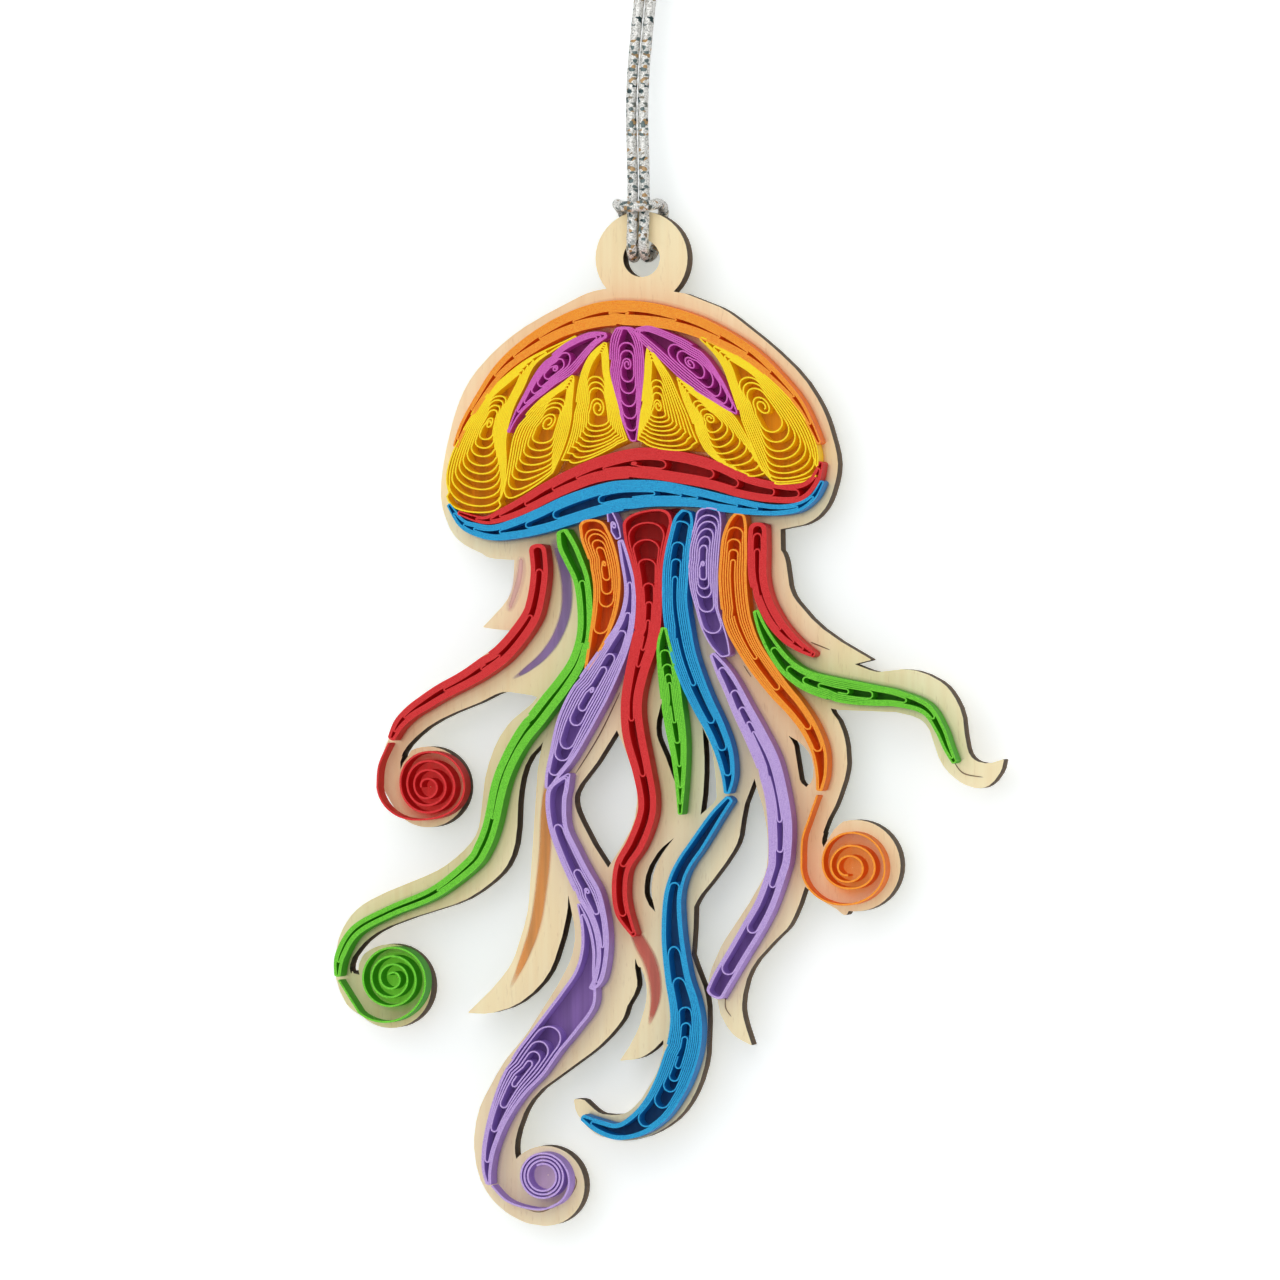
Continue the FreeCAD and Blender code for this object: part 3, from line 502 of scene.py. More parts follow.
BURNT = (120, 84, 50)
RIBBONS = [
    Ribbon("printed_lilac_streak", (150, 120, 190), [
        (553, 538, 4), (562, 560, 6), (567, 585, 6.5), (566, 612, 6.5), (557, 637, 6),
        (543, 656, 5), (526, 670, 3.5), (512, 679, 1),
    ], 0.8, 0.4),
    Ribbon("printed_pink_streak", (240, 190, 200), [
        (521, 556, 4), (520, 572, 7), (515, 592, 7), (508, 612, 4),
    ], 0.6, 1.0),
    Ribbon("printed_orange_streak", (236, 150, 60), [
        (548, 775, 3), (546, 810, 6), (545, 850, 7), (541, 890, 7), (535, 925, 6.5), (525, 955, 5),
        (510, 988, 1.5),
    ], 0.7, 0.35),
    Ribbon("printed_red_streak", (222, 96, 84), [
        (632, 924, 5), (642, 943, 8), (651, 960, 8.5), (656, 980, 7.5), (656, 1001, 5.5),
        (650, 1024, 1.5),
    ], 0.75, 0.4),
    Ribbon("engraved_line_1", BURNT, [(622, 690, 0.5), (600, 735, 0.8), (575, 775, 0.5)], 0.8, 0.3),
    Ribbon("engraved_line_2", BURNT, [(812, 642, 0.5), (822, 646, 0.7), (832, 650, 0.4)], 0.8, 0.3),
    Ribbon("engraved_line_3", BURNT, [(728, 990, 0.5), (727, 1005, 0.7), (733, 1015, 0.5)], 0.8, 0.3),
    Ribbon("engraved_line_4", (150, 108, 70), [
        (570, 1168, 0.5), (577, 1180, 0.7), (570, 1195, 0.7), (555, 1205, 0.7), (540, 1211, 0.7),
        (525, 1208, 0.5),
    ], 0.7, 0.3),
    Ribbon("engraved_line_5", BURNT, [(955, 760, 0.5), (965, 772, 0.8), (985, 776, 0.5)], 0.8, 0.3),
    Ribbon("engraved_line_6", BURNT, [(745, 665, 0.4), (749, 671, 0.6), (753, 677, 0.4)], 0.7, 0.3),
]

# The cord, from the hole's centre: across, back and up, in millimetres
HITCH_POINTS = [
    (-0.95, -1.6, 7.5), (-0.8, -2.3, 4.5), (-0.9, -2.65, 0.9), (-1.15, 0.0, -0.1), (-1.3, 2.7, 1.0),
    (-2.9, 2.7, 5.3), (-2.9, -1.0, 6.1), (-2.0, -3.6, 5.6), (1.2, -3.6, 5.6), (1.9, -1.0, 6.1),
    (1.8, 2.7, 5.5), (0.8, 2.7, 1.0), (0.3, 0.0, -0.1), (0.4, -2.65, 0.9), (0.5, -2.3, 4.5),
    (0.35, -1.6, 7.5),
]
STRAND_POINTS = [
    (-0.95, -1.6, 7.5), (-1.1, -0.9, 10.5), (-1.45, -0.2, 15.5), (-1.3, 0.0, 21.0), (-0.6, 0.0, 28.0),
    (0.4, 0.0, 36.0), (0.2, 0.0, 46.0), (-0.65, 0.0, 57.0), (-0.65, 0.0, 67.0),
]


class Socket:
    """A shader socket, with operators that make Math nodes."""

    def __init__(self, graph: Graph, value: bpy.types.NodeSocket) -> None:
        """Wrap a socket.

        Args:
            graph: The graph that new nodes go in.
            value: The output socket.
        """
        self.graph = graph
        self.value = value

    def made_by(self, operation: str, *others: Socket | float, clamp: bool = False) -> Socket:
        """Make a Math node from this socket and others.

        Args:
            operation: The node's operation.
            others: The further inputs.
            clamp: Whether the result is kept from 0 to 1.

        Returns:
            The node's result.
        """
        inputs = dict(enumerate((self, *others)))
        made = self.graph.node("ShaderNodeMath", inputs, operation=operation, use_clamp=clamp)
        return Socket(self.graph, made.outputs[0])

    def __add__(self, other: Socket | float) -> Socket:
        """Add a socket or number."""
        return self.made_by("ADD", other)

    def __radd__(self, other: float) -> Socket:
        """Add to a number."""
        return self.made_by("ADD", other)

    def __sub__(self, other: Socket | float) -> Socket:
        """Take a socket or number away."""
        return self.made_by("SUBTRACT", other)

    def __rsub__(self, other: float) -> Socket:
        """Take it away from a number."""
        return self * -1.0 + other

    def __mul__(self, other: Socket | float) -> Socket:
        """Multiply by a socket or number."""
        return self.made_by("MULTIPLY", other)

    def __rmul__(self, other: float) -> Socket:
        """Multiply a number by it."""
        return self.made_by("MULTIPLY", other)

    def absolute(self) -> Socket:
        """Take the value without its sign."""
        return self.made_by("ABSOLUTE")

    def sine(self) -> Socket:
        """Take the sine."""
        return self.made_by("SINE")

    def between(self, low: float, high: float) -> Socket:
        """Rise from 0 at the low value to 1 at the high one, and stay within them."""
        return (self - low).made_by("DIVIDE", high - low, clamp=True)


class Graph:
    """The node graph of one material, with a Principled shader."""

    def __init__(self, name: str) -> None:
        """Start a material.

        Args:
            name: The material's name.
        """
        self.material = bpy.data.materials.new(name)
        self.material.use_nodes = True
        self.tree = self.material.node_tree
        self.shader = self.tree.nodes["Principled BSDF"]

    def node(self, kind: str, inputs: dict | None = None, **settings: object) -> bpy.types.Node:
        """Make a node.

        Args:
            kind: The node's type.
            inputs: The value or socket for each named or numbered input.
            settings: The node's own settings, which are set first.

        Returns:
            The node.
        """
        made = self.tree.nodes.new(kind)
        for key, value in settings.items():
            setattr(made, key, value)
        for key, value in (inputs or {}).items():
            self.feed(made.inputs[key], value)
        return made

    def feed(self, target: bpy.types.NodeSocket, value: object) -> None:
        """Set an input to a value, or link it to a socket.

        Args:
            target: The input.
            value: A number, colour, Socket or output.
        """
        plain = value.value if isinstance(value, Socket) else value
        if isinstance(plain, bpy.types.NodeSocket):
            self.tree.links.new(plain, target)
        else:
            target.default_value = plain

    def object_point(self, scale: Space = (1, 1, 1)) -> bpy.types.NodeSocket:
        """Give the object's coordinates, scaled along each axis."""
        where = self.node("ShaderNodeTexCoord").outputs["Object"]
        return self.node("ShaderNodeMapping", {"Vector": where, "Scale": scale}).outputs[0]

    def noise(self, vector: bpy.types.NodeSocket, scale: float, detail: float = 3.0) -> Socket:
        """Make a noise texture, about 0.5 on average."""
        made = self.node("ShaderNodeTexNoise", {"Vector": vector, "Scale": scale, "Detail": detail})
        return Socket(self, made.outputs[0])

    def blend(self, share: Socket, a: Socket | tuple, b: Socket | tuple) -> Socket:
        """Mix a share of the second colour into the first."""
        made = self.node("ShaderNodeMix", {0: share, 6: a, 7: b}, data_type="RGBA")
        return Socket(self, made.outputs[2])

    def along_y(self, vector: bpy.types.NodeSocket) -> Socket:
        """Take a vector's part along Y."""
        return Socket(self, self.node("ShaderNodeSeparateXYZ", {0: vector}).outputs["Y"])

    def bump(self, height: Socket, strength: float, distance: float) -> None:
        """Give the shader a bump, whose distance is its depth in metres."""
        made = self.node("ShaderNodeBump", {"Height": height, "Strength": strength, "Distance": distance})
        self.feed(self.shader.inputs["Normal"], made.outputs[0])

    def set(self, **values: object) -> None:
        """Set the shader's inputs, named with underscores for spaces."""
        for key, value in values.items():
            self.feed(self.shader.inputs[key.replace("_", " ")], value)

    def show(self, surface: bpy.types.NodeSocket) -> None:
        """Let the material show a shader."""
        self.feed(self.tree.nodes["Material Output"].inputs["Surface"], surface)


GRAIN_STRETCH = (1600, 400, 60)


@dataclass(frozen=True)
class Plywood:
    """The board's wood: pale and grained in front, charred where the laser cut it."""

    pale: Colour = (255, 243, 202)
    tan: Colour = (243, 216, 164)
    pore: Colour = (196, 158, 104)
    char_dark: Colour = (58, 44, 26)
    char_brown: Colour = (112, 84, 48)
    roughness: float = 0.72
    broad_stretch: Space = (60, 20, 22)
    pore_stretch: Space = (5000, 5000, 700)
    char_stretch: Space = (900, 3000, 900)
    ply_waves: float = 2100.0
    grain_depth: float = 0.08 * MM

    def material(self) -> bpy.types.Material:
        """Make the wood.

        Returns:
            The material.
        """
        graph = Graph("plywood")
        grain = graph.noise(graph.object_point(GRAIN_STRETCH), 1.0, 4.0)
        broad = graph.noise(graph.object_point(self.broad_stretch), 1.0, 2.0)
        pores = graph.noise(graph.object_point(self.pore_stretch), 1.0, 2.0)
        tone = broad.between(0.3, 0.75) * 0.7 + grain.between(0.35, 0.7) * 0.3
        front = graph.blend(tone, linear(self.pale), linear(self.tan))
        front = graph.blend(pores.between(0.62, 0.75) * 0.25, front, linear(self.pore))
        normal = graph.node("ShaderNodeNewGeometry").outputs["Normal"]
        facing = graph.along_y(normal).absolute()
        plies = graph.noise(graph.object_point(self.char_stretch), 1.0, 3.0)
        layers = (graph.along_y(graph.object_point()) * self.ply_waves).sine()
        burn = plies.between(0.3, 0.7) * 0.5 + layers.between(-0.4, 0.9) * 0.3
        char = graph.blend(burn, linear(self.char_dark), linear(self.char_brown))
        graph.set(Base_Color=graph.blend(facing.between(0.35, 0.7), char, front), Roughness=self.roughness)
        graph.bump(grain + pores * 0.5, 0.25, self.grain_depth)
        return graph.material


@dataclass(frozen=True)
class Ink:
    """Colour that covers the wood as far as the mesh's own ink value says: print, burnt lines, and painted
    light that the paper reflects onto the board.

    Attributes:
        name: The material's name.
        colour: Its sRGB colour.
        painted_glow: How strongly it gives off its own colour, painted light standing in for light that the
            paper round it reflects onto it.
        shade: How dark its darkest grain is.
        roughness: Its roughness.
    """

    name: str
    colour: Colour
    painted_glow: float = 0.0
    shade: float = 0.88
    roughness: float = 0.72

    def material(self) -> bpy.types.Material:
        """Make the ink.

        Returns:
            The material.
        """
        graph = Graph(self.name)
        grain = graph.noise(graph.object_point(GRAIN_STRETCH), 1.0, 4.0)
        colour, darker = linear(self.colour), linear(shaded(self.colour, self.shade))
        amount = graph.node("ShaderNodeAttribute", attribute_name="ink").outputs["Fac"]
        # The emission is painted light that the paper round it reflects onto the board; plain print has none.
        graph.set(Base_Color=graph.blend(grain.between(0.35, 0.65), darker, colour), Alpha=amount,
                  Roughness=self.roughness, Emission_Color=colour, Emission_Strength=self.painted_glow)
        return graph.material


@dataclass(frozen=True)
class PaperFinish:
    """One colour of paper.

    Attributes:
        paper: Its colour.
        painted_glow: How strongly its sides give off their own colour, painted light standing in for light
            that comes through the paper.
        shade: How dark its mottling is.
        wall_scale: How fine the fibres of its sides are.
        edge_scale: How fine those of its cut edges are.
        mottle_scale: How fine its mottling is.
        wall_roughness: How rough its sides are.
        edge_roughness: How rough its cut edges are.
        fibre_depth: How deep its fibres are, in metres.
    """

    paper: Paper
    painted_glow: float = 0.1
    shade: float = 0.86
    wall_scale: float = 9000.0
    edge_scale: float = 14000.0
    mottle_scale: float = 900.0
    wall_roughness: float = 0.62
    edge_roughness: float = 0.8
    fibre_depth: float = 0.03 * MM

    def wall(self) -> bpy.types.Material:
        """Make a strip's flat side, which gives off a little painted light of its own colour.

        Returns:
            The material.
        """
        graph = Graph(self.paper.slot + "_wall")
        colour, darker = linear(self.paper.wall), linear(shaded(self.paper.wall, self.shade))
        fibres = graph.noise(graph.object_point(), self.wall_scale, 3.0)
        mottle = graph.noise(graph.object_point(), self.mottle_scale, 2.0)
        tone = mottle.between(0.3, 0.7) * 0.6 + fibres.between(0.35, 0.65) * 0.4
        # The emission is painted light: the side gives off its own colour in place of light that comes
        # through the paper and bounces between the walls.
        graph.set(Base_Color=graph.blend(tone, darker, colour), Roughness=self.wall_roughness,
                  Emission_Color=colour, Emission_Strength=self.painted_glow)
        graph.bump(fibres, 0.3, self.fibre_depth)
        return graph.material

    def edge(self) -> bpy.types.Material:
        """Make a strip's cut edge, paler and rougher than its side.

        Returns:
            The material.
        """
        graph = Graph(self.paper.slot + "_edge")
        fibres = graph.noise(graph.object_point(), self.edge_scale, 3.0)
        cut = graph.blend(fibres.between(0.3, 0.6), linear(self.paper.wall), linear(self.paper.edge))
        graph.set(Base_Color=cut, Roughness=self.edge_roughness)
        graph.bump(fibres, 0.5, self.fibre_depth)
        return graph.material


@dataclass(frozen=True)
class Braid:
    """The cord's metallic braid, speckled with yarns of other colours."""

    silver: Colour = (176, 176, 170)
    white: Colour = (244, 244, 240)
    grey_teal: Colour = (96, 112, 112)
    tan: Colour = (176, 142, 96)
    dark_teal: Colour = (40, 62, 64)
    yarn_scale: float = 6500.0
    yarn_depth: float = 0.05 * MM
    roughness: float = 0.38
    metallic: float = 0.35

    def material(self) -> bpy.types.Material:
        """Make the braid.

        Returns:
            The material.
        """
        graph = Graph("cord_braid")
        turn = graph.node("ShaderNodeUVMap", uv_map="braid").outputs[0]
        cells = graph.node("ShaderNodeTexVoronoi", {"Vector": turn, "Scale": 2.0})
        pick = Socket(graph, graph.node("ShaderNodeSeparateColor", {0: cells.outputs["Color"]}).outputs[0])
        yarn = graph.noise(graph.object_point(), self.yarn_scale, 2.0)
        colour = graph.blend(yarn.between(0.35, 0.6), linear(self.silver), linear(self.white))
        for low, high, speckle in ((0.70, 0.74, self.grey_teal), (0.84, 0.88, self.tan),
                                   (0.93, 0.96, self.dark_teal)):
            colour = graph.blend(pick.between(low, high), colour, linear(speckle))
        graph.set(Base_Color=colour, Roughness=self.roughness, Metallic=self.metallic)
        graph.bump(yarn, 0.5, self.yarn_depth)
        return graph.material


@dataclass(frozen=True)
class Surround:
    """The floor's and the backdrop's plain pale surface.

    Attributes:
        name: The material's name.
        see_through: Whether it can't be seen from behind.
        pale: Its colour.
        lift: The colour that it gains where the camera sees it.
        lift_strength: How much it gains.
        roughness: Its roughness.
    """

    name: str
    see_through: bool
    pale: Colour = (250, 250, 250)
    lift: Colour = (240, 252, 252)
    lift_strength: float = 0.3
    roughness: float = 0.9

    def material(self) -> bpy.types.Material:
        """Make the surface.

        Returns:
            The material.
        """
        graph = Graph(self.name)
        graph.set(Base_Color=linear(self.pale), Roughness=self.roughness)
        seen = graph.node("ShaderNodeBsdfPrincipled", {
            "Base Color": linear(self.pale), "Roughness": self.roughness,
            "Emission Color": linear(self.lift), "Emission Strength": self.lift_strength,
        })
        watched = graph.node("ShaderNodeLightPath").outputs["Is Camera Ray"]
        plain = graph.shader.outputs[0]
        shown = graph.node("ShaderNodeMixShader", {0: watched, 1: plain, 2: seen.outputs[0]})
        if self.see_through:
            behind = graph.node("ShaderNodeNewGeometry").outputs["Backfacing"]
            clear = graph.node("ShaderNodeBsdfTransparent").outputs[0]
            shown = graph.node("ShaderNodeMixShader", {0: behind, 1: shown.outputs[0], 2: clear})
        graph.show(shown.outputs[0])
        return graph.material


def shaded(colour: Colour, share: float) -> Colour:
    """Darken a colour to a share of each of its parts."""
    return tuple(int(value * share) for value in colour)


LEAST_PITCH = 0.168 * MM
OUTER_INSET = 0.06 * MM
TIGHT_FOLD = 0.10 * MM
SAMPLE = 0.4 * MM
EYE_ROOM = 24.0
TIP_SHARE = 0.5
MOST_LEAN = 0.45


class Winding:
    """How one strip winds inside its rungs, from its outline in to its eye."""

    SAMPLES_A_RUNG = 12
    SHARE_STEPS = 240
    LIMIT_STEPS = 160
    SEAM_REACH = 0.5 * MM
    EYE_GAP = 1.3
    EYE_LEAST = 0.9
    EYE_STRETCH = 1.5
    EYE_SHORTEST = 0.6
    EYE_SHRINK = 0.72
    EYE_STEPS_A_TURN = 20
    EYE_TURNS = 1.35
    EYE_MORE_TURNS = 0.3

    def __init__(self, coil: Coil) -> None:
        """Measure the coil.

        Args:
            coil: The coil.
        """
        self.coil = coil
        samples = self.SAMPLES_A_RUNG * (len(coil.rungs) - 1)
        middles = [mix(*self.rung(index / samples), 0.5) for index in range(samples + 1)]
        self.length = sum(math.dist(p, q) for p, q in zip(middles, middles[1:]))
        self.turns = 1 + coil.bundle + min(len(coil.heads), len(coil.toes))
        self.heads = [0.0] * (1 + coil.bundle) + [self.share_near(point) for point in coil.heads]
        self.toes = [1.0] * (1 + coil.bundle) + [self.share_near(point) for point in coil.toes]
        self.seam = (self.heads[self.turns - 1] + self.toes[self.turns - 1]) / 2
        self.seam_reach = min(self.SEAM_REACH, 0.2 * self.length) / self.length

    def rung(self, share: float) -> tuple[Point, Point]:
        """Find the left and right ends of the rung at a share of the length, 0 being the head."""
        lx, ly, rx, ry = smooth(self.coil.rungs, share)
        return place(lx, ly), place(rx, ry)

    def share_near(self, point: Point) -> float:
        """Find the share of the length nearest to a point of the drawing.

        Args:
            point: The point, in squares.

        Returns:
            The share.
        """
        target = place(*point)
        shares = (index / self.SHARE_STEPS for index in range(self.SHARE_STEPS + 1))
        return min(shares, key=lambda share: math.dist(mix(*self.rung(share), 0.5), target))

    def walls(self, share: float, layer: int) -> tuple[float, float]:
        """Find where a layer's two walls pass.

        Args:
            share: The share of the length.
            layer: The layer, 0 being the outermost.

        Returns:
            How far the left and the right wall lie to the right of the middle, in metres.
        """
        left, right = self.rung(share)
        whole = max(math.dist(left, right) / 2 - OUTER_INSET, TIGHT_FOLD)
        close = min(layer, self.coil.bundle)
        outer, inner = close * LEAST_PITCH, layer - close
        room = max(whole - self.coil.bundle * LEAST_PITCH, 0.0)
        rise = min(share / self.coil.opening, 1.0)
        crowd = self.coil.crowd + (1 - self.coil.crowd) * rise * rise * (3 - 2 * rise)
        taken = self.coil.spread * room / max((self.turns - 1 - self.coil.bundle) * crowd, 1)
        lean = self.coil.lean
        left_pitch = max(LEAST_PITCH, (1 + lean) * taken)
        right_pitch = max(LEAST_PITCH, (1 - lean) * taken)
        return -whole + outer + inner * left_pitch, whole - outer - inner * right_pitch

    def point(self, share: float, away: float) -> Point:
        """Find the point at a share of the length, a distance to the right of the middle."""
        left, right = self.rung(share)
        return mix(left, right, 0.5 + away / max(math.dist(left, right), 1e-9))

    def limit(self, layer: int, wanted: float, before: float) -> float:
        """Find how far a layer reaches before it would be too narrow or touch the one outside.

        Args:
            layer: The layer.
            wanted: The share it would like to reach.
            before: The share that the layer outside it reaches.

        Returns:
            The share that it reaches.
        """
        outward = -1 if wanted < self.seam else 1
        if layer:
            furthest = before - outward * LEAST_PITCH / self.length
            wanted = max(wanted, furthest) if outward < 0 else min(wanted, furthest)
        reached = self.seam
        for step in range(1, self.LIMIT_STEPS + 1):
            share = self.seam + (wanted - self.seam) * step / self.LIMIT_STEPS
            left, right = self.walls(share, layer)
            if layer and right - left < 2 * TIGHT_FOLD:
                break
            reached = share
        return reached

    def fold(self, share: float, layer: int, inward: int) -> tuple[float, float, float, float]:
        """Work out a fold at one end of a layer.

        Args:
            share: The share that the fold reaches.
            layer: The layer.
            inward: 1 at the head and -1 at the foot.

        Returns:
            The share of the fold's base, its middle, its half width and its depth.
        """
        half, middle = TIGHT_FOLD, 0.0
        for _ in range(4):
            left, right = self.walls(share + inward * half / self.length, layer)
            half = max((right - left) / 2, TIGHT_FOLD)
            middle = (left + right) / 2
        depth = max(half * (1.0 if inward > 0 else self.coil.foot), TIGHT_FOLD)
        return share + inward * depth / self.length, middle, half, depth

    def bend(self, base: tuple[float, float, float, float], inward: int) -> list[Point]:
        """Follow a fold round.

        Args:
            base: The fold, as the method above works it out.
            inward: 1 at the head and -1 at the foot.

        Returns:
            The fold's points without its two ends.
        """
        share, middle, half, depth = base
        return [
            self.point(share - inward * depth * math.sin(angle) / self.length,
                       middle - inward * half * math.cos(angle))
            for angle in fold_angles(half)
        ]

    def side(self, start: float, end: float, layer: int, right: bool) -> list[Point]:
        """Follow one wall of a layer.

        Args:
            start: The share where it starts.
            end: The share where it ends.
            layer: The layer.
            right: Whether it is the right wall.

        Returns:
            The wall's points.
        """
        count = max(int(abs(end - start) * self.length / SAMPLE), 2)
        shares = [start + (end - start) * index / count for index in range(count + 1)]
        return [self.point(share, self.walls(share, layer)[right]) for share in shares]

    def line(self) -> list[Point]:
        """Follow the whole strip.

        Returns:
            The strip's points, across and up.
        """
        points: list[Point] = []
        above, below = self.seam - self.seam_reach, self.seam + self.seam_reach
        head, toe = 0.0, 1.0
        pocket = (above, below, -1)
        for layer in range(self.turns):
            head = self.limit(layer, self.heads[layer], head)
            toe = self.limit(layer, self.toes[layer], toe)
            head_fold, toe_fold = self.fold(head, layer, 1), self.fold(toe, layer, -1)
            if head_fold[0] > above or toe_fold[0] < below:
                break
            points += self.side(above, head_fold[0], layer, False)
            points += self.bend(head_fold, 1)
            points += self.side(head_fold[0], toe_fold[0], layer, True)
            points += self.bend(toe_fold, -1)
            points += self.side(toe_fold[0], below, layer, False)
            pocket = (head_fold[0], toe_fold[0], layer)
        return points + self.eye(*pocket)

    def eye(self, head: float, toe: float, layer: int) -> list[Point]:
        """Curl the strip's inner end up in the pocket that the last turn leaves.

        Args:
            head: The share of the length where the pocket starts.
            toe: The share where it ends.
            layer: The last layer.

        Returns:
            The curl's points, none where the pocket is too narrow.
        """
        left, right = self.walls(self.seam, layer)
        half = (right - left) / 2 - self.EYE_GAP * LEAST_PITCH
        if layer < 0 or half < self.EYE_LEAST * LEAST_PITCH:
            return []
        reach = min((toe - head) / 2 * self.length - LEAST_PITCH, self.EYE_STRETCH * half)
        if reach < half * self.EYE_SHORTEST:
            return []
        turns = self.EYE_TURNS + self.EYE_MORE_TURNS * min(half / (4 * LEAST_PITCH), 2.0)
        steps = int(self.EYE_STEPS_A_TURN * turns)
        curl = []
        for step in range(steps + 1):
            share = step / steps
            turn, size = 2 * math.pi * turns * share, 1 - self.EYE_SHRINK * share
            where = self.seam - reach * size * math.sin(turn) / self.length
            curl.append(self.point(where, (left + right) / 2 - half * size * math.cos(turn)))
        return curl


def fold_angles(half: float) -> list[float]:
    """Choose the angles, in radians, at which a fold of a half width is drawn without its ends."""
    count = 8 if half < 0.4 * MM else 14
    return [math.pi * index / count for index in range(1, count)]


def lobe_coil(lobe: Lobe) -> Coil:
    """Turn a lobe into a coil whose outer turns reach the tip and whose inner ones ring the eye.

    Args:
        lobe: The lobe.

    Returns:
        The coil.
    """
    eye_x, eye_y, eye_radius = lobe.eye
    steps = 400
    middles = [smooth(lobe.rungs, index / steps) for index in range(steps + 1)]
    middles = [((a + c) / 2, (b + d) / 2, (a, b), (c, d)) for a, b, c, d in middles]
    nearest = min(range(steps + 1), key=lambda index: math.dist(middles[index][:2], (eye_x, eye_y)))
    mx, my, left, right = middles[nearest]
    half = math.dist(left, right) / 2
    across = ((right[0] - left[0]) / (2 * half), (right[1] - left[1]) / (2 * half))
    away = (eye_x - mx) * across[0] + (eye_y - my) * across[1]
    lean = max(min(away / half, MOST_LEAN), -MOST_LEAN)
    total = math.dist(middles[0][:2], middles[-1][:2])
    reach = eye_radius / total * steps
    far = max(nearest - (eye_radius + EYE_ROOM) / total * steps, 0.15 * nearest)
    heads, toes = [], []
    for turn in range(1, lobe.turns):
        share = turn / (lobe.turns - 1)
        inner = max(share - TIP_SHARE, 0.0) / (1 - TIP_SHARE)
        head = int(far + (nearest - reach - far) * inner) if inner > 0 else 0
        toe = int(steps - (steps - nearest - reach) * share**0.95)
        heads.append(middles[max(head, 0)][:2])
        toes.append(middles[min(toe, steps)][:2])
    spread = max(1 - eye_radius / half, 0.4)
    return Coil(lobe.node, lobe.paper, lobe.rungs, heads, toes, spread, lean, lobe.foot, 0,
                TIP_SHARE, max(nearest / steps, 0.05))


def all_coils() -> list[Coil]:
    """List every wound coil, the bands first."""
    return BANDS + [lobe_coil(lobe) for lobe in LOBES]


def scroll_line(scroll: Scroll) -> list[Point]:
    """Follow a scroll's strip.

    Args:
        scroll: The scroll.

    Returns:
        The strip's points, across and up.
    """
    steps = 15
    quarters = len(scroll.radii) - 1
    spiral = []
    for step in range(steps * quarters + 1):
        (reach,) = smooth([(radius,) for radius in scroll.radii], step / (steps * quarters))
        angle = math.radians(scroll.start_angle + 90 * step / steps)
        x, y = scroll.centre
        spiral.append((x + reach * math.cos(angle), y - reach * math.sin(angle)))
    knots = scroll.lead + spiral[:1]
    count = 12 * len(scroll.lead)
    lead = [smooth(knots, step / count) for step in range(count)]
    return [place(x, y) for x, y in lead + spiral]


def add_piece(name: str, mesh: bpy.types.Mesh, slot: str, *replaced: str) -> bpy.types.Object:
    """Add a piece to the scene, let it ride on the body and report it.

    Args:
        name: The piece's name.
        mesh: Its mesh.
        slot: Not used.
        replaced: The CAD nodes that it stands for.

    Returns:
        The piece.
    """
    mesh.update()
    piece = bpy.data.objects.new(name, mesh)
    bpy.context.scene.collection.objects.link(piece)
    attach(piece, "root")
    if replaced:
        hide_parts(*replaced)
    LOG.info("%s has %d faces", name, len(mesh.polygons))
    return piece


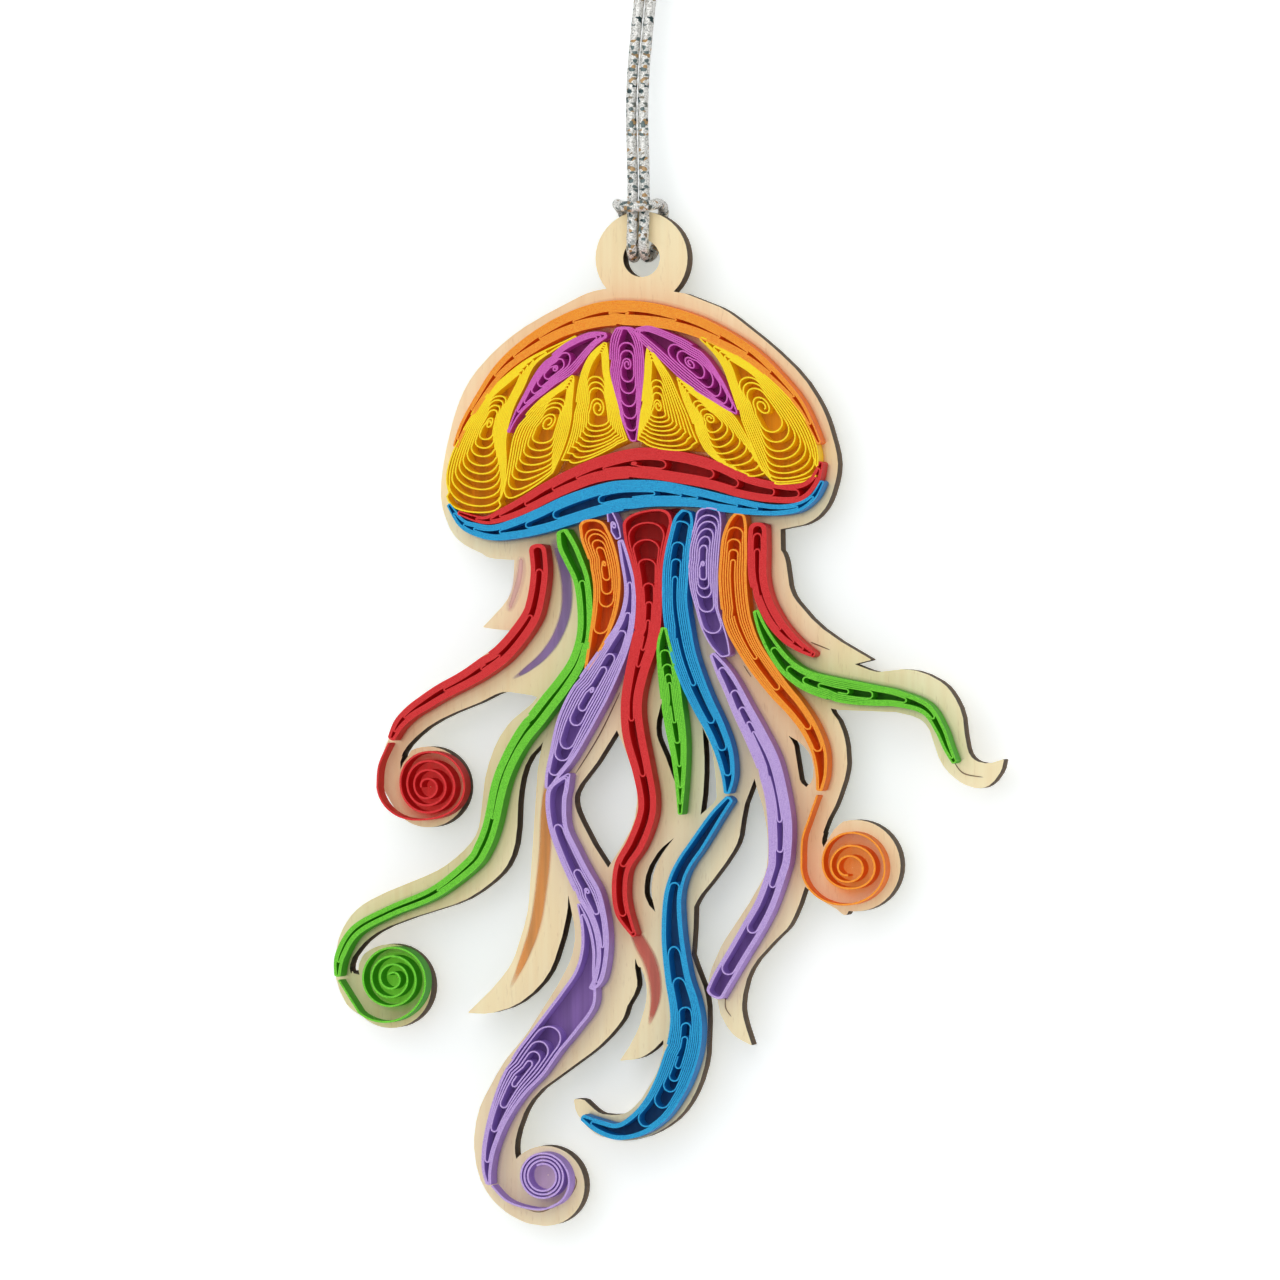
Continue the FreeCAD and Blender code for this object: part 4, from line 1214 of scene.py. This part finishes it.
@dataclass
class Strips:
    """The paper strips that stand on edge on the board.

    Attributes:
        paper: The thickness of a coil's paper.
        loose_share: How much thicker a loose scroll's paper is.
        wave: How much the front edge waves.
        waves_a_metre: How closely it waves.
        least_step: The least distance between two points of a strip.
    """

    paper: float = 0.155 * MM
    loose_share: float = 1.3
    wave: float = 0.05 * MM
    waves_a_metre: float = 500.0
    least_step: float = 0.02 * MM

    def build(self) -> None:
        """Make every coil and scroll."""
        finishes = {paper: PaperFinish(paper) for paper in Paper}
        papers = {paper: (finish.wall(), finish.edge()) for paper, finish in finishes.items()}
        for coil in all_coils():
            mesh = self.strip(coil.node, Winding(coil).line(), self.paper)
            self.dress(coil.node, coil.paper, mesh, papers[coil.paper])
        for scroll in SCROLLS:
            mesh = self.strip(scroll.node, scroll_line(scroll), self.paper * self.loose_share)
            self.dress(scroll.node, scroll.paper, mesh, papers[scroll.paper])

    def strip(self, node: str, line: list[Point], thickness: float) -> bpy.types.Mesh:
        """Make one strip's mesh.

        Args:
            node: The CAD node that gives its height.
            line: The line that the strip follows.
            thickness: The paper's thickness.

        Returns:
            The mesh, whose front edge has the second material.
        """
        low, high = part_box(node)
        line = self.thinned(line)
        vertices = []
        seed = float(len(node) * 7 + len(line))
        for index, (x, z) in enumerate(line):
            across, up = self.sideways(line, index, thickness / 2)
            where = Vector((x * self.waves_a_metre, z * self.waves_a_metre, seed))
            front = low.y + max(self.wave * (0.5 + noise.noise(where)), 0.0)
            vertices += [(x - across, front, z - up), (x + across, front, z + up)]
            vertices += [(x + across, high.y, z + up), (x - across, high.y, z - up)]
        faces = []
        for index in range(len(line) - 1):
            a, b = 4 * index, 4 * index + 4
            faces += [(a + k, a + (k + 1) % 4, b + (k + 1) % 4, b + k) for k in range(4)]
        last = 4 * (len(line) - 1)
        faces += [(3, 2, 1, 0), (last, last + 1, last + 2, last + 3)]
        mesh = bpy.data.meshes.new(node + "_paper")
        mesh.from_pydata(vertices, [], faces)
        for index in range(len(line) - 1):
            mesh.polygons[4 * index].material_index = 1
        return mesh

    def dress(self, node: str, paper: Paper, mesh: bpy.types.Mesh, papers: tuple) -> None:
        """Give a strip its paper and let it replace its CAD node.

        Args:
            node: The CAD node.
            paper: The colour of paper.
            mesh: The strip's mesh.
            papers: The materials of the wall and of the edge.
        """
        for polygon in mesh.polygons:
            polygon.use_smooth = True
        mesh.set_sharp_from_angle(angle=math.radians(50))
        for material in papers:
            mesh.materials.append(material)
        add_piece(node + "_paper", mesh, paper.slot, node)

    def thinned(self, line: list[Point]) -> list[Point]:
        """Leave out the points of a line that lie almost on the one before.

        Args:
            line: The line.

        Returns:
            The line without them.
        """
        kept = [line[0]]
        for point in line[1:]:
            if math.dist(point, kept[-1]) > self.least_step:
                kept.append(point)
        return kept

    def sideways(self, line: list[Point], index: int, reach: float) -> Point:
        """Find the step from the line to the strip's left face, mitred at corners.

        Args:
            line: The line.
            index: The point's number.
            reach: Half the strip's thickness.

        Returns:
            The step, across and up.
        """
        here = line[index]
        back, ahead = line[max(index - 1, 0)], line[min(index + 1, len(line) - 1)]
        after = math.atan2(ahead[1] - here[1], ahead[0] - here[0])
        before = math.atan2(here[1] - back[1], here[0] - back[0])
        if index == 0:
            before = after
        if index == len(line) - 1:
            after = before
        half_turn = math.remainder(after - before, 2 * math.pi) / 2
        along = before + half_turn
        step = reach / max(math.cos(half_turn), 0.6)
        return -math.sin(along) * step, math.cos(along) * step


@dataclass
class Board:
    """The board's wood, the print under the coils with a painted bleed of their reflected colour, the painted
    reflection under the scrolls, the streaks and the engraved lines.

    Attributes:
        wood: The board's own object.
        lift: How far the first print lies in front of the wood.
        lift_step: How much further each next one lies.
        rim: How far the painted bleed of a coil's reflected colour fades out beyond the coil, in squares.
        disc_margin: How far the painted reflection under a scroll reaches beyond its outer turn, in squares.
        disc_painted_glow: How strongly the colour under a scroll gives off light, painted light standing in
            for what the scroll's paper reflects onto the board.
        parallax: How many squares of distance from the eye's square shift a reading by one.
        eye_square: The square straight in front of the camera.
    """

    wood: bpy.types.Object
    lift: float = 0.012 * MM
    lift_step: float = 0.002 * MM
    rim: float = 4.5
    disc_margin: float = 4.0
    disc_painted_glow: float = 0.3
    parallax: float = 104.3
    eye_square: float = 1310.0

    def build(self) -> None:
        """Give the board its wood, print the colour under the coils with their painted bleed, paint the
        reflected colour under the scrolls and lay the ribbons.
        """
        self.wood.data.materials.clear()
        self.wood.data.materials.append(Plywood().material())
        # Under each coil lies print that also carries painted light reflected from its paper.
        inks = {paper: Ink("print_" + paper.name.lower(), paper.print_and_bleed).material() for paper in Paper}
        sheets = [("ground_of_" + coil.node, self.print_and_bleed(coil), inks[coil.paper]) for coil in all_coils()]
        # Under each scroll lies a painted reflection of its paper's colour, giving off painted light.
        for scroll in SCROLLS:
            name = "ground_of_" + scroll.node
            sheets.append((name, self.disc(scroll), Ink(name, scroll.paper.edge, self.disc_painted_glow).material()))
        for ribbon in RIBBONS:
            sheets.append((ribbon.name, self.streak(ribbon), Ink(ribbon.name, ribbon.colour).material()))
        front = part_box("backing_board")[0].y
        for order, (name, rows, material) in enumerate(sheets):
            self.sheet(name, rows, material, front - self.lift - order * self.lift_step)

    def print_and_bleed(self, coil: Coil) -> list[InkRow]:
        """Print the colour that lies on the board under a coil, carrying painted reflected light, with a
        faint painted bleed round it.

        Args:
            coil: The coil.

        Returns:
            Rows of points in squares, each with its amount of ink.
        """
        steps = 8 * (len(coil.rungs) - 1)
        rows = []
        for step in range(steps + 1):
            lx, ly, rx, ry = smooth(coil.rungs, step / steps)
            rim = self.rim / max(math.dist((lx, ly), (rx, ry)) / 2, 0.1)
            ends = 1.0 if 0 < step < steps else 0.3
            # Beyond the band's edges the ink is a painted bleed of the paper's reflected colour, fading out;
            # inside it is print with painted reflected light.
            half = [(-1 - rim, 0.0), (-1 - 0.4 * rim, 0.18), (-1.0, 0.55), (-0.86, 0.9)]
            other = [(-away, ink) for away, ink in reversed(half)]
            rows.append([
                (mix((lx, ly), (rx, ry), 0.5 + away / 2), ink * ends)
                for away, ink in half + [(0.0, 0.92)] + other
            ])
        return rows

    def disc(self, scroll: Scroll) -> list[InkRow]:
        """Paint the colour that lies on the board under a scroll's spiral, a painted reflection of its paper.

        Args:
            scroll: The scroll.

        Returns:
            Rows of points in squares, each with its amount of ink.
        """
        reach = sum(scroll.radii[4:8]) / 4 + self.disc_margin
        ring = 48
        rows = []
        for share, ink in ((0.02, 1.0), (0.5, 1.0), (0.85, 0.8), (1.0, 0.3), (1.2, 0.0)):
            turns = [2 * math.pi * step / ring for step in range(ring + 1)]
            rows.append([
                ((scroll.centre[0] + reach * share * math.cos(turn),
                  scroll.centre[1] - reach * share * math.sin(turn)), ink * scroll.painted_reflection)
                for turn in turns
            ])
        return rows

    def streak(self, ribbon: Ribbon) -> list[InkRow]:
        """Lay out one streak or engraved line.

        Args:
            ribbon: The streak or line.

        Returns:
            Rows of points in squares, each with its amount of ink.
        """
        rungs = rungs_of([
            (x - (self.eye_square - x) / self.parallax, y, half) for x, y, half in ribbon.points
        ])
        steps, columns = 10 * (len(rungs) - 1), 8
        rows = []
        for step in range(steps + 1):
            lx, ly, rx, ry = smooth(rungs, step / steps)
            ends = min(min(step, steps - step) / steps / 0.12, 1.0)
            row = []
            for column in range(columns + 1):
                share = column / columns
                inside = min((1 - abs(2 * share - 1)) / max(ribbon.edge, 0.05), 1.0)
                row.append((mix((lx, ly), (rx, ry), share), ribbon.strength * inside * ends))
            rows.append(row)
        return rows

    def sheet(self, name: str, rows: list[InkRow], material: bpy.types.Material, level: float) -> None:
        """Make a thin sheet of ink on the board's front.

        Args:
            name: Its name.
            rows: Rows of points in squares, each with its amount of ink.
            material: Its ink.
            level: How far back it lies.
        """
        vertices, amounts = [], []
        for (x, y), amount in (spot for row in rows for spot in row):
            across, up = place(x, y)
            vertices.append((across, level, up))
            amounts.append(amount)
        wide = len(rows[0])
        faces = []
        for step in range(len(rows) - 1):
            for a in range(step * wide, step * wide + wide - 1):
                faces.append((a, a + wide, a + wide + 1, a + 1))
        mesh = bpy.data.meshes.new(name)
        mesh.from_pydata(vertices, [], faces)
        mesh.attributes.new("ink", "FLOAT", "POINT").data.foreach_set("value", amounts)
        mesh.materials.append(material)
        add_piece(name, mesh, "plywood")


@dataclass
class Cord:
    """The braided cord: its two strands, its hitch on the ring and its knot.

    Attributes:
        diameter: The cord's thickness.
        spacing: The distance between the strands' middles.
        knot_diameter: The knot's width.
        knot_height: The knot's height.
        tail: The length of each cut end.
        around: The points round the cord.
        yarns: The yarns that cross round it.
        braid_length: The length in which a yarn goes once round.
        ring_step: The distance between rings of points.
        relief: How deep the yarns stand out, as a share of the radius.
        wraps: How often the knot's cord goes round the strands.
    """

    diameter: float = 1.2 * MM
    spacing: float = 1.3 * MM
    knot_diameter: float = 3.4 * MM
    knot_height: float = 3.0 * MM
    tail: float = 2.6 * MM
    around: int = 36
    yarns: int = 8
    braid_length: float = 2.6 * MM
    ring_step: float = 0.09 * MM
    relief: float = 0.16
    wraps: float = 2.4

    def __post_init__(self) -> None:
        """Make the braid's material."""
        self.material = Braid().material()

    def build(self) -> None:
        """Make the whole cord and log the lengths of its two free strands."""
        self.tube("braided_hitch", self.route(HITCH_POINTS, "hitch_route"), "cord_hitch")
        knot = self.knot()
        for node, shift in (("cord_left", 0.0), ("cord_right", self.spacing / MM)):
            points = [(x + shift, y, z) for x, y, z in STRAND_POINTS]
            line = self.route(points, node + "_route")
            strand = self.tube(node + "_braid", line, node)
            length = sum((b - a).length for a, b in zip(line, line[1:]))
            LOG.info("%s is %.1f mm long", node, length / MM)

    def route(self, points: list[Space], name: str) -> list[Vector]:
        """Read a smooth line from a NURBS spline that has the points as its control points.

        Args:
            points: The points, in millimetres from the hole's centre.
            name: A name for the spline.

        Returns:
            Evenly spaced points in the frame.
        """
        curve = bpy.data.curves.new(name, "CURVE")
        curve.dimensions = "3D"
        spline = curve.splines.new("NURBS")
        spline.points.add(len(points) - 1)
        for target, (x, y, z) in zip(spline.points, points):
            target.co = (x * MM, y * MM, z * MM - LOOP_DROP, 1.0)
        spline.order_u = 3
        spline.use_endpoint_u = True
        curve.resolution_u = 24
        holder = bpy.data.objects.new(name, curve)
        bpy.context.scene.collection.objects.link(holder)
        bpy.context.view_layer.update()
        mesh = bpy.data.meshes.new_from_object(holder)
        line = [vertex.co.copy() for vertex in mesh.vertices]
        bpy.data.meshes.remove(mesh)
        bpy.data.objects.remove(holder)
        return self.evenly(line)

    def evenly(self, line: list[Vector]) -> list[Vector]:
        """Space a line's points a ring's step apart.

        Args:
            line: The line.

        Returns:
            The evenly spaced line.
        """
        lengths = [0.0]
        for before, after in zip(line, line[1:]):
            lengths.append(lengths[-1] + (after - before).length)
        count = max(int(lengths[-1] / self.ring_step), 8)
        spaced, index = [], 0
        for step in range(count + 1):
            wanted = lengths[-1] * step / count
            while index < len(line) - 2 and lengths[index + 1] < wanted:
                index += 1
            run = max(lengths[index + 1] - lengths[index], 1e-12)
            spaced.append(line[index].lerp(line[index + 1], (wanted - lengths[index]) / run))
        return spaced

    def radius(self, along: float, turn: float) -> float:
        """Find the braid's radius at a point of its surface.

        Args:
            along: The distance along the cord.
            turn: The angle round it.

        Returns:
            The radius.
        """
        climb = 2 * math.pi * along / self.braid_length
        one = abs(math.sin((self.yarns * turn / 2 + climb * 2) / 2))
        two = abs(math.sin((self.yarns * turn / 2 - climb * 2) / 2))
        return self.diameter / 2 * (1 - self.relief + self.relief * max(one, two))

    def tube(self, name: str, line: list[Vector], *replaced: str, blunt: bool = False) -> bpy.types.Object:
        """Make a braided tube along a line.

        Args:
            name: The piece's name.
            line: The evenly spaced line.
            replaced: The CAD nodes that it stands for.
            blunt: Whether the far end is a cut one that closes in.

        Returns:
            The piece.
        """
        side = (line[1] - line[0]).orthogonal().normalized()
        vertices, turns = [], []
        along = 0.0
        for index, here in enumerate(line):
            ahead, behind = line[min(index + 1, len(line) - 1)], line[max(index - 1, 0)]
            tangent = (ahead - behind).normalized()
            side = (side - tangent * side.dot(tangent)).normalized()
            other = tangent.cross(side)
            along += (here - behind).length
            closing = min(1.0, 0.55 + 0.15 * (len(line) - 1 - index)) if blunt else 1.0
            for step in range(self.around):
                turn = 2 * math.pi * step / self.around
                reach = self.radius(along, turn) * closing
                outward = side * (math.cos(turn) * reach) + other * (math.sin(turn) * reach)
                vertices.append(here + outward)
                turns.append((along / MM * 1.6, 4.0 * step / self.around))
        faces = []
        for index in range(len(line) - 1):
            for step in range(self.around):
                a, b = index * self.around + step, index * self.around + (step + 1) % self.around
                faces.append((a, b, b + self.around, a + self.around))
        faces.append(tuple(reversed(range(self.around))))
        faces.append(tuple(range((len(line) - 1) * self.around, len(line) * self.around)))
        mesh = bpy.data.meshes.new(name)
        mesh.from_pydata([tuple(vertex) for vertex in vertices], [], faces)
        layer = mesh.uv_layers.new(name="braid")
        for loop in mesh.loops:
            layer.data[loop.index].uv = turns[loop.vertex_index]
        for polygon in mesh.polygons:
            polygon.use_smooth = True
        mesh.materials.append(self.material)
        return add_piece(name, mesh, "cord_braid", *replaced)

    def knot(self) -> bpy.types.Object:
        """Make the knot: wraps round the strands, and the cord's two cut ends.

        Returns:
            The wraps.
        """
        reach = (self.knot_diameter - self.diameter) / 2
        low, high = self.diameter / 2, self.knot_height - self.diameter / 2
        steps = 160
        line = []
        for step in range(steps + 1):
            share = step / steps
            turn = 2 * math.pi * self.wraps * share
            squeeze = 1.0 - 0.55 * max(0.0, abs(2 * share - 1) - 0.86) / 0.14
            line.append(Vector((math.cos(turn) * reach * squeeze, math.sin(turn) * reach * squeeze,
                                low + (high - low) * share)))
        knot = self.tube("knot_wraps", self.evenly(line), "cord_knot")
        for side, name in ((-1, "knot_tail_left"), (1, "knot_tail_right")):
            foot = Vector((side * self.spacing / 2, 0, self.knot_height - 0.6 * MM))
            lean = Vector((side * 0.35, 0, 1)).normalized()
            tip = foot + lean * (self.tail + 0.5 * MM)
            self.tube(name, self.evenly([foot.lerp(tip, step / 24) for step in range(25)]), blunt=True)
        return knot


@dataclass
class Stage:
    """The floor, the backdrop, the lights and the camera.

    Attributes:
        distance: How far the camera stands away.
        azimuth: How far it stands to the right, in degrees.
        closer: How much longer its lens is than the drawing's size asks for.
        sensor: The sensor's width in millimetres.
        wall: How far back the backdrop hangs.
        reach: How far the planes reach to each side and up.
        drop: How far the floor lies below the middle of the picture.
        run: How far the floor comes forward.
        world_light: The strength of the light from all round.
    """

    distance: float = 1.2
    azimuth: float = 11.5
    closer: float = 1.006
    sensor: float = 36.0
    wall: float = 0.0042
    reach: float = 0.6
    drop: float = 0.09
    run: float = 1.4
    world_light: float = 0.6

    def __post_init__(self) -> None:
        """Find the middle of the picture."""
        x, z = place(DRAWING_SIZE / 2, DRAWING_SIZE / 2)
        self.target = Vector((x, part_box("yellow_lobe_1")[0].y, z))

    def build(self) -> None:
        """Make the stage."""
        low, high = self.target.z - self.drop, self.target.z + self.reach
        reach, wall = self.reach, self.wall
        self.plane("backdrop", [(-reach, wall, low), (reach, wall, low), (reach, wall, high),
                                (-reach, wall, high)], True)
        self.plane("floor", [(-reach, -self.run, low), (reach, -self.run, low), (reach, wall, low),
                             (-reach, wall, low)], False)
        self.light("key", Vector((0.03, -0.75, -0.32)), 0.10, 21.0)
        self.light("fill", Vector((-0.15, -0.9, 0.30)), 0.8, 3.0)
        world = bpy.data.worlds.new("studio")
        world.use_nodes = True
        world.node_tree.nodes["Background"].inputs[0].default_value = (1.0, 1.0, 1.0, 1.0)
        world.node_tree.nodes["Background"].inputs[1].default_value = self.world_light
        bpy.context.scene.world = world
        self.camera()

    def plane(self, name: str, corners: list[Space], see_through: bool) -> None:
        """Make one plane of the stage.

        Args:
            name: Its name.
            corners: Its corners.
            see_through: Whether it can't be seen from behind.
        """
        mesh = bpy.data.meshes.new(name)
        mesh.from_pydata(corners, [], [tuple(range(len(corners)))])
        mesh.materials.append(Surround(name, see_through).material())
        made = bpy.data.objects.new(name, mesh)
        bpy.context.scene.collection.objects.link(made)
        LOG.info("%s is in place", name)

    def light(self, name: str, offset: Vector, size: float, power: float) -> None:
        """Make one soft light that shines on the ornament.

        Args:
            name: Its name.
            offset: Its place from the middle of the picture.
            size: Its size across.
            power: Its power in watts.
        """
        lamp = bpy.data.lights.new(name, "AREA")
        lamp.size = size
        lamp.energy = power
        made = bpy.data.objects.new(name, lamp)
        made.location = self.target + offset
        made.rotation_euler = (self.target - made.location).to_track_quat("-Z", "Y").to_euler()
        bpy.context.scene.collection.objects.link(made)

    def camera(self) -> None:
        """Make the camera, at the photograph's viewing angle."""
        lens = bpy.data.cameras.new("camera")
        lens.sensor_width = self.sensor
        lens.lens = self.sensor * self.distance / (DRAWING_SIZE * SQUARE) * self.closer
        lens.clip_start = 0.05
        made = bpy.data.objects.new("camera", lens)
        turn = math.radians(self.azimuth)
        away = Vector((math.sin(turn), -math.cos(turn), 0.0))
        made.location = self.target + away * self.distance
        made.rotation_euler = (-away).to_track_quat("-Z", "Y").to_euler()
        bpy.context.scene.collection.objects.link(made)
        bpy.context.scene.camera = made


def main() -> None:
    """Build the ornament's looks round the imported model."""
    logging.basicConfig(level=logging.INFO)
    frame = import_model()
    bpy.context.scene.view_settings.view_transform = "Standard"
    Stage().build()
    Cord().build()
    Board(frame["nodes"]["backing_board"]).build()
    Strips().build()


if __name__ == "__main__":
    main()
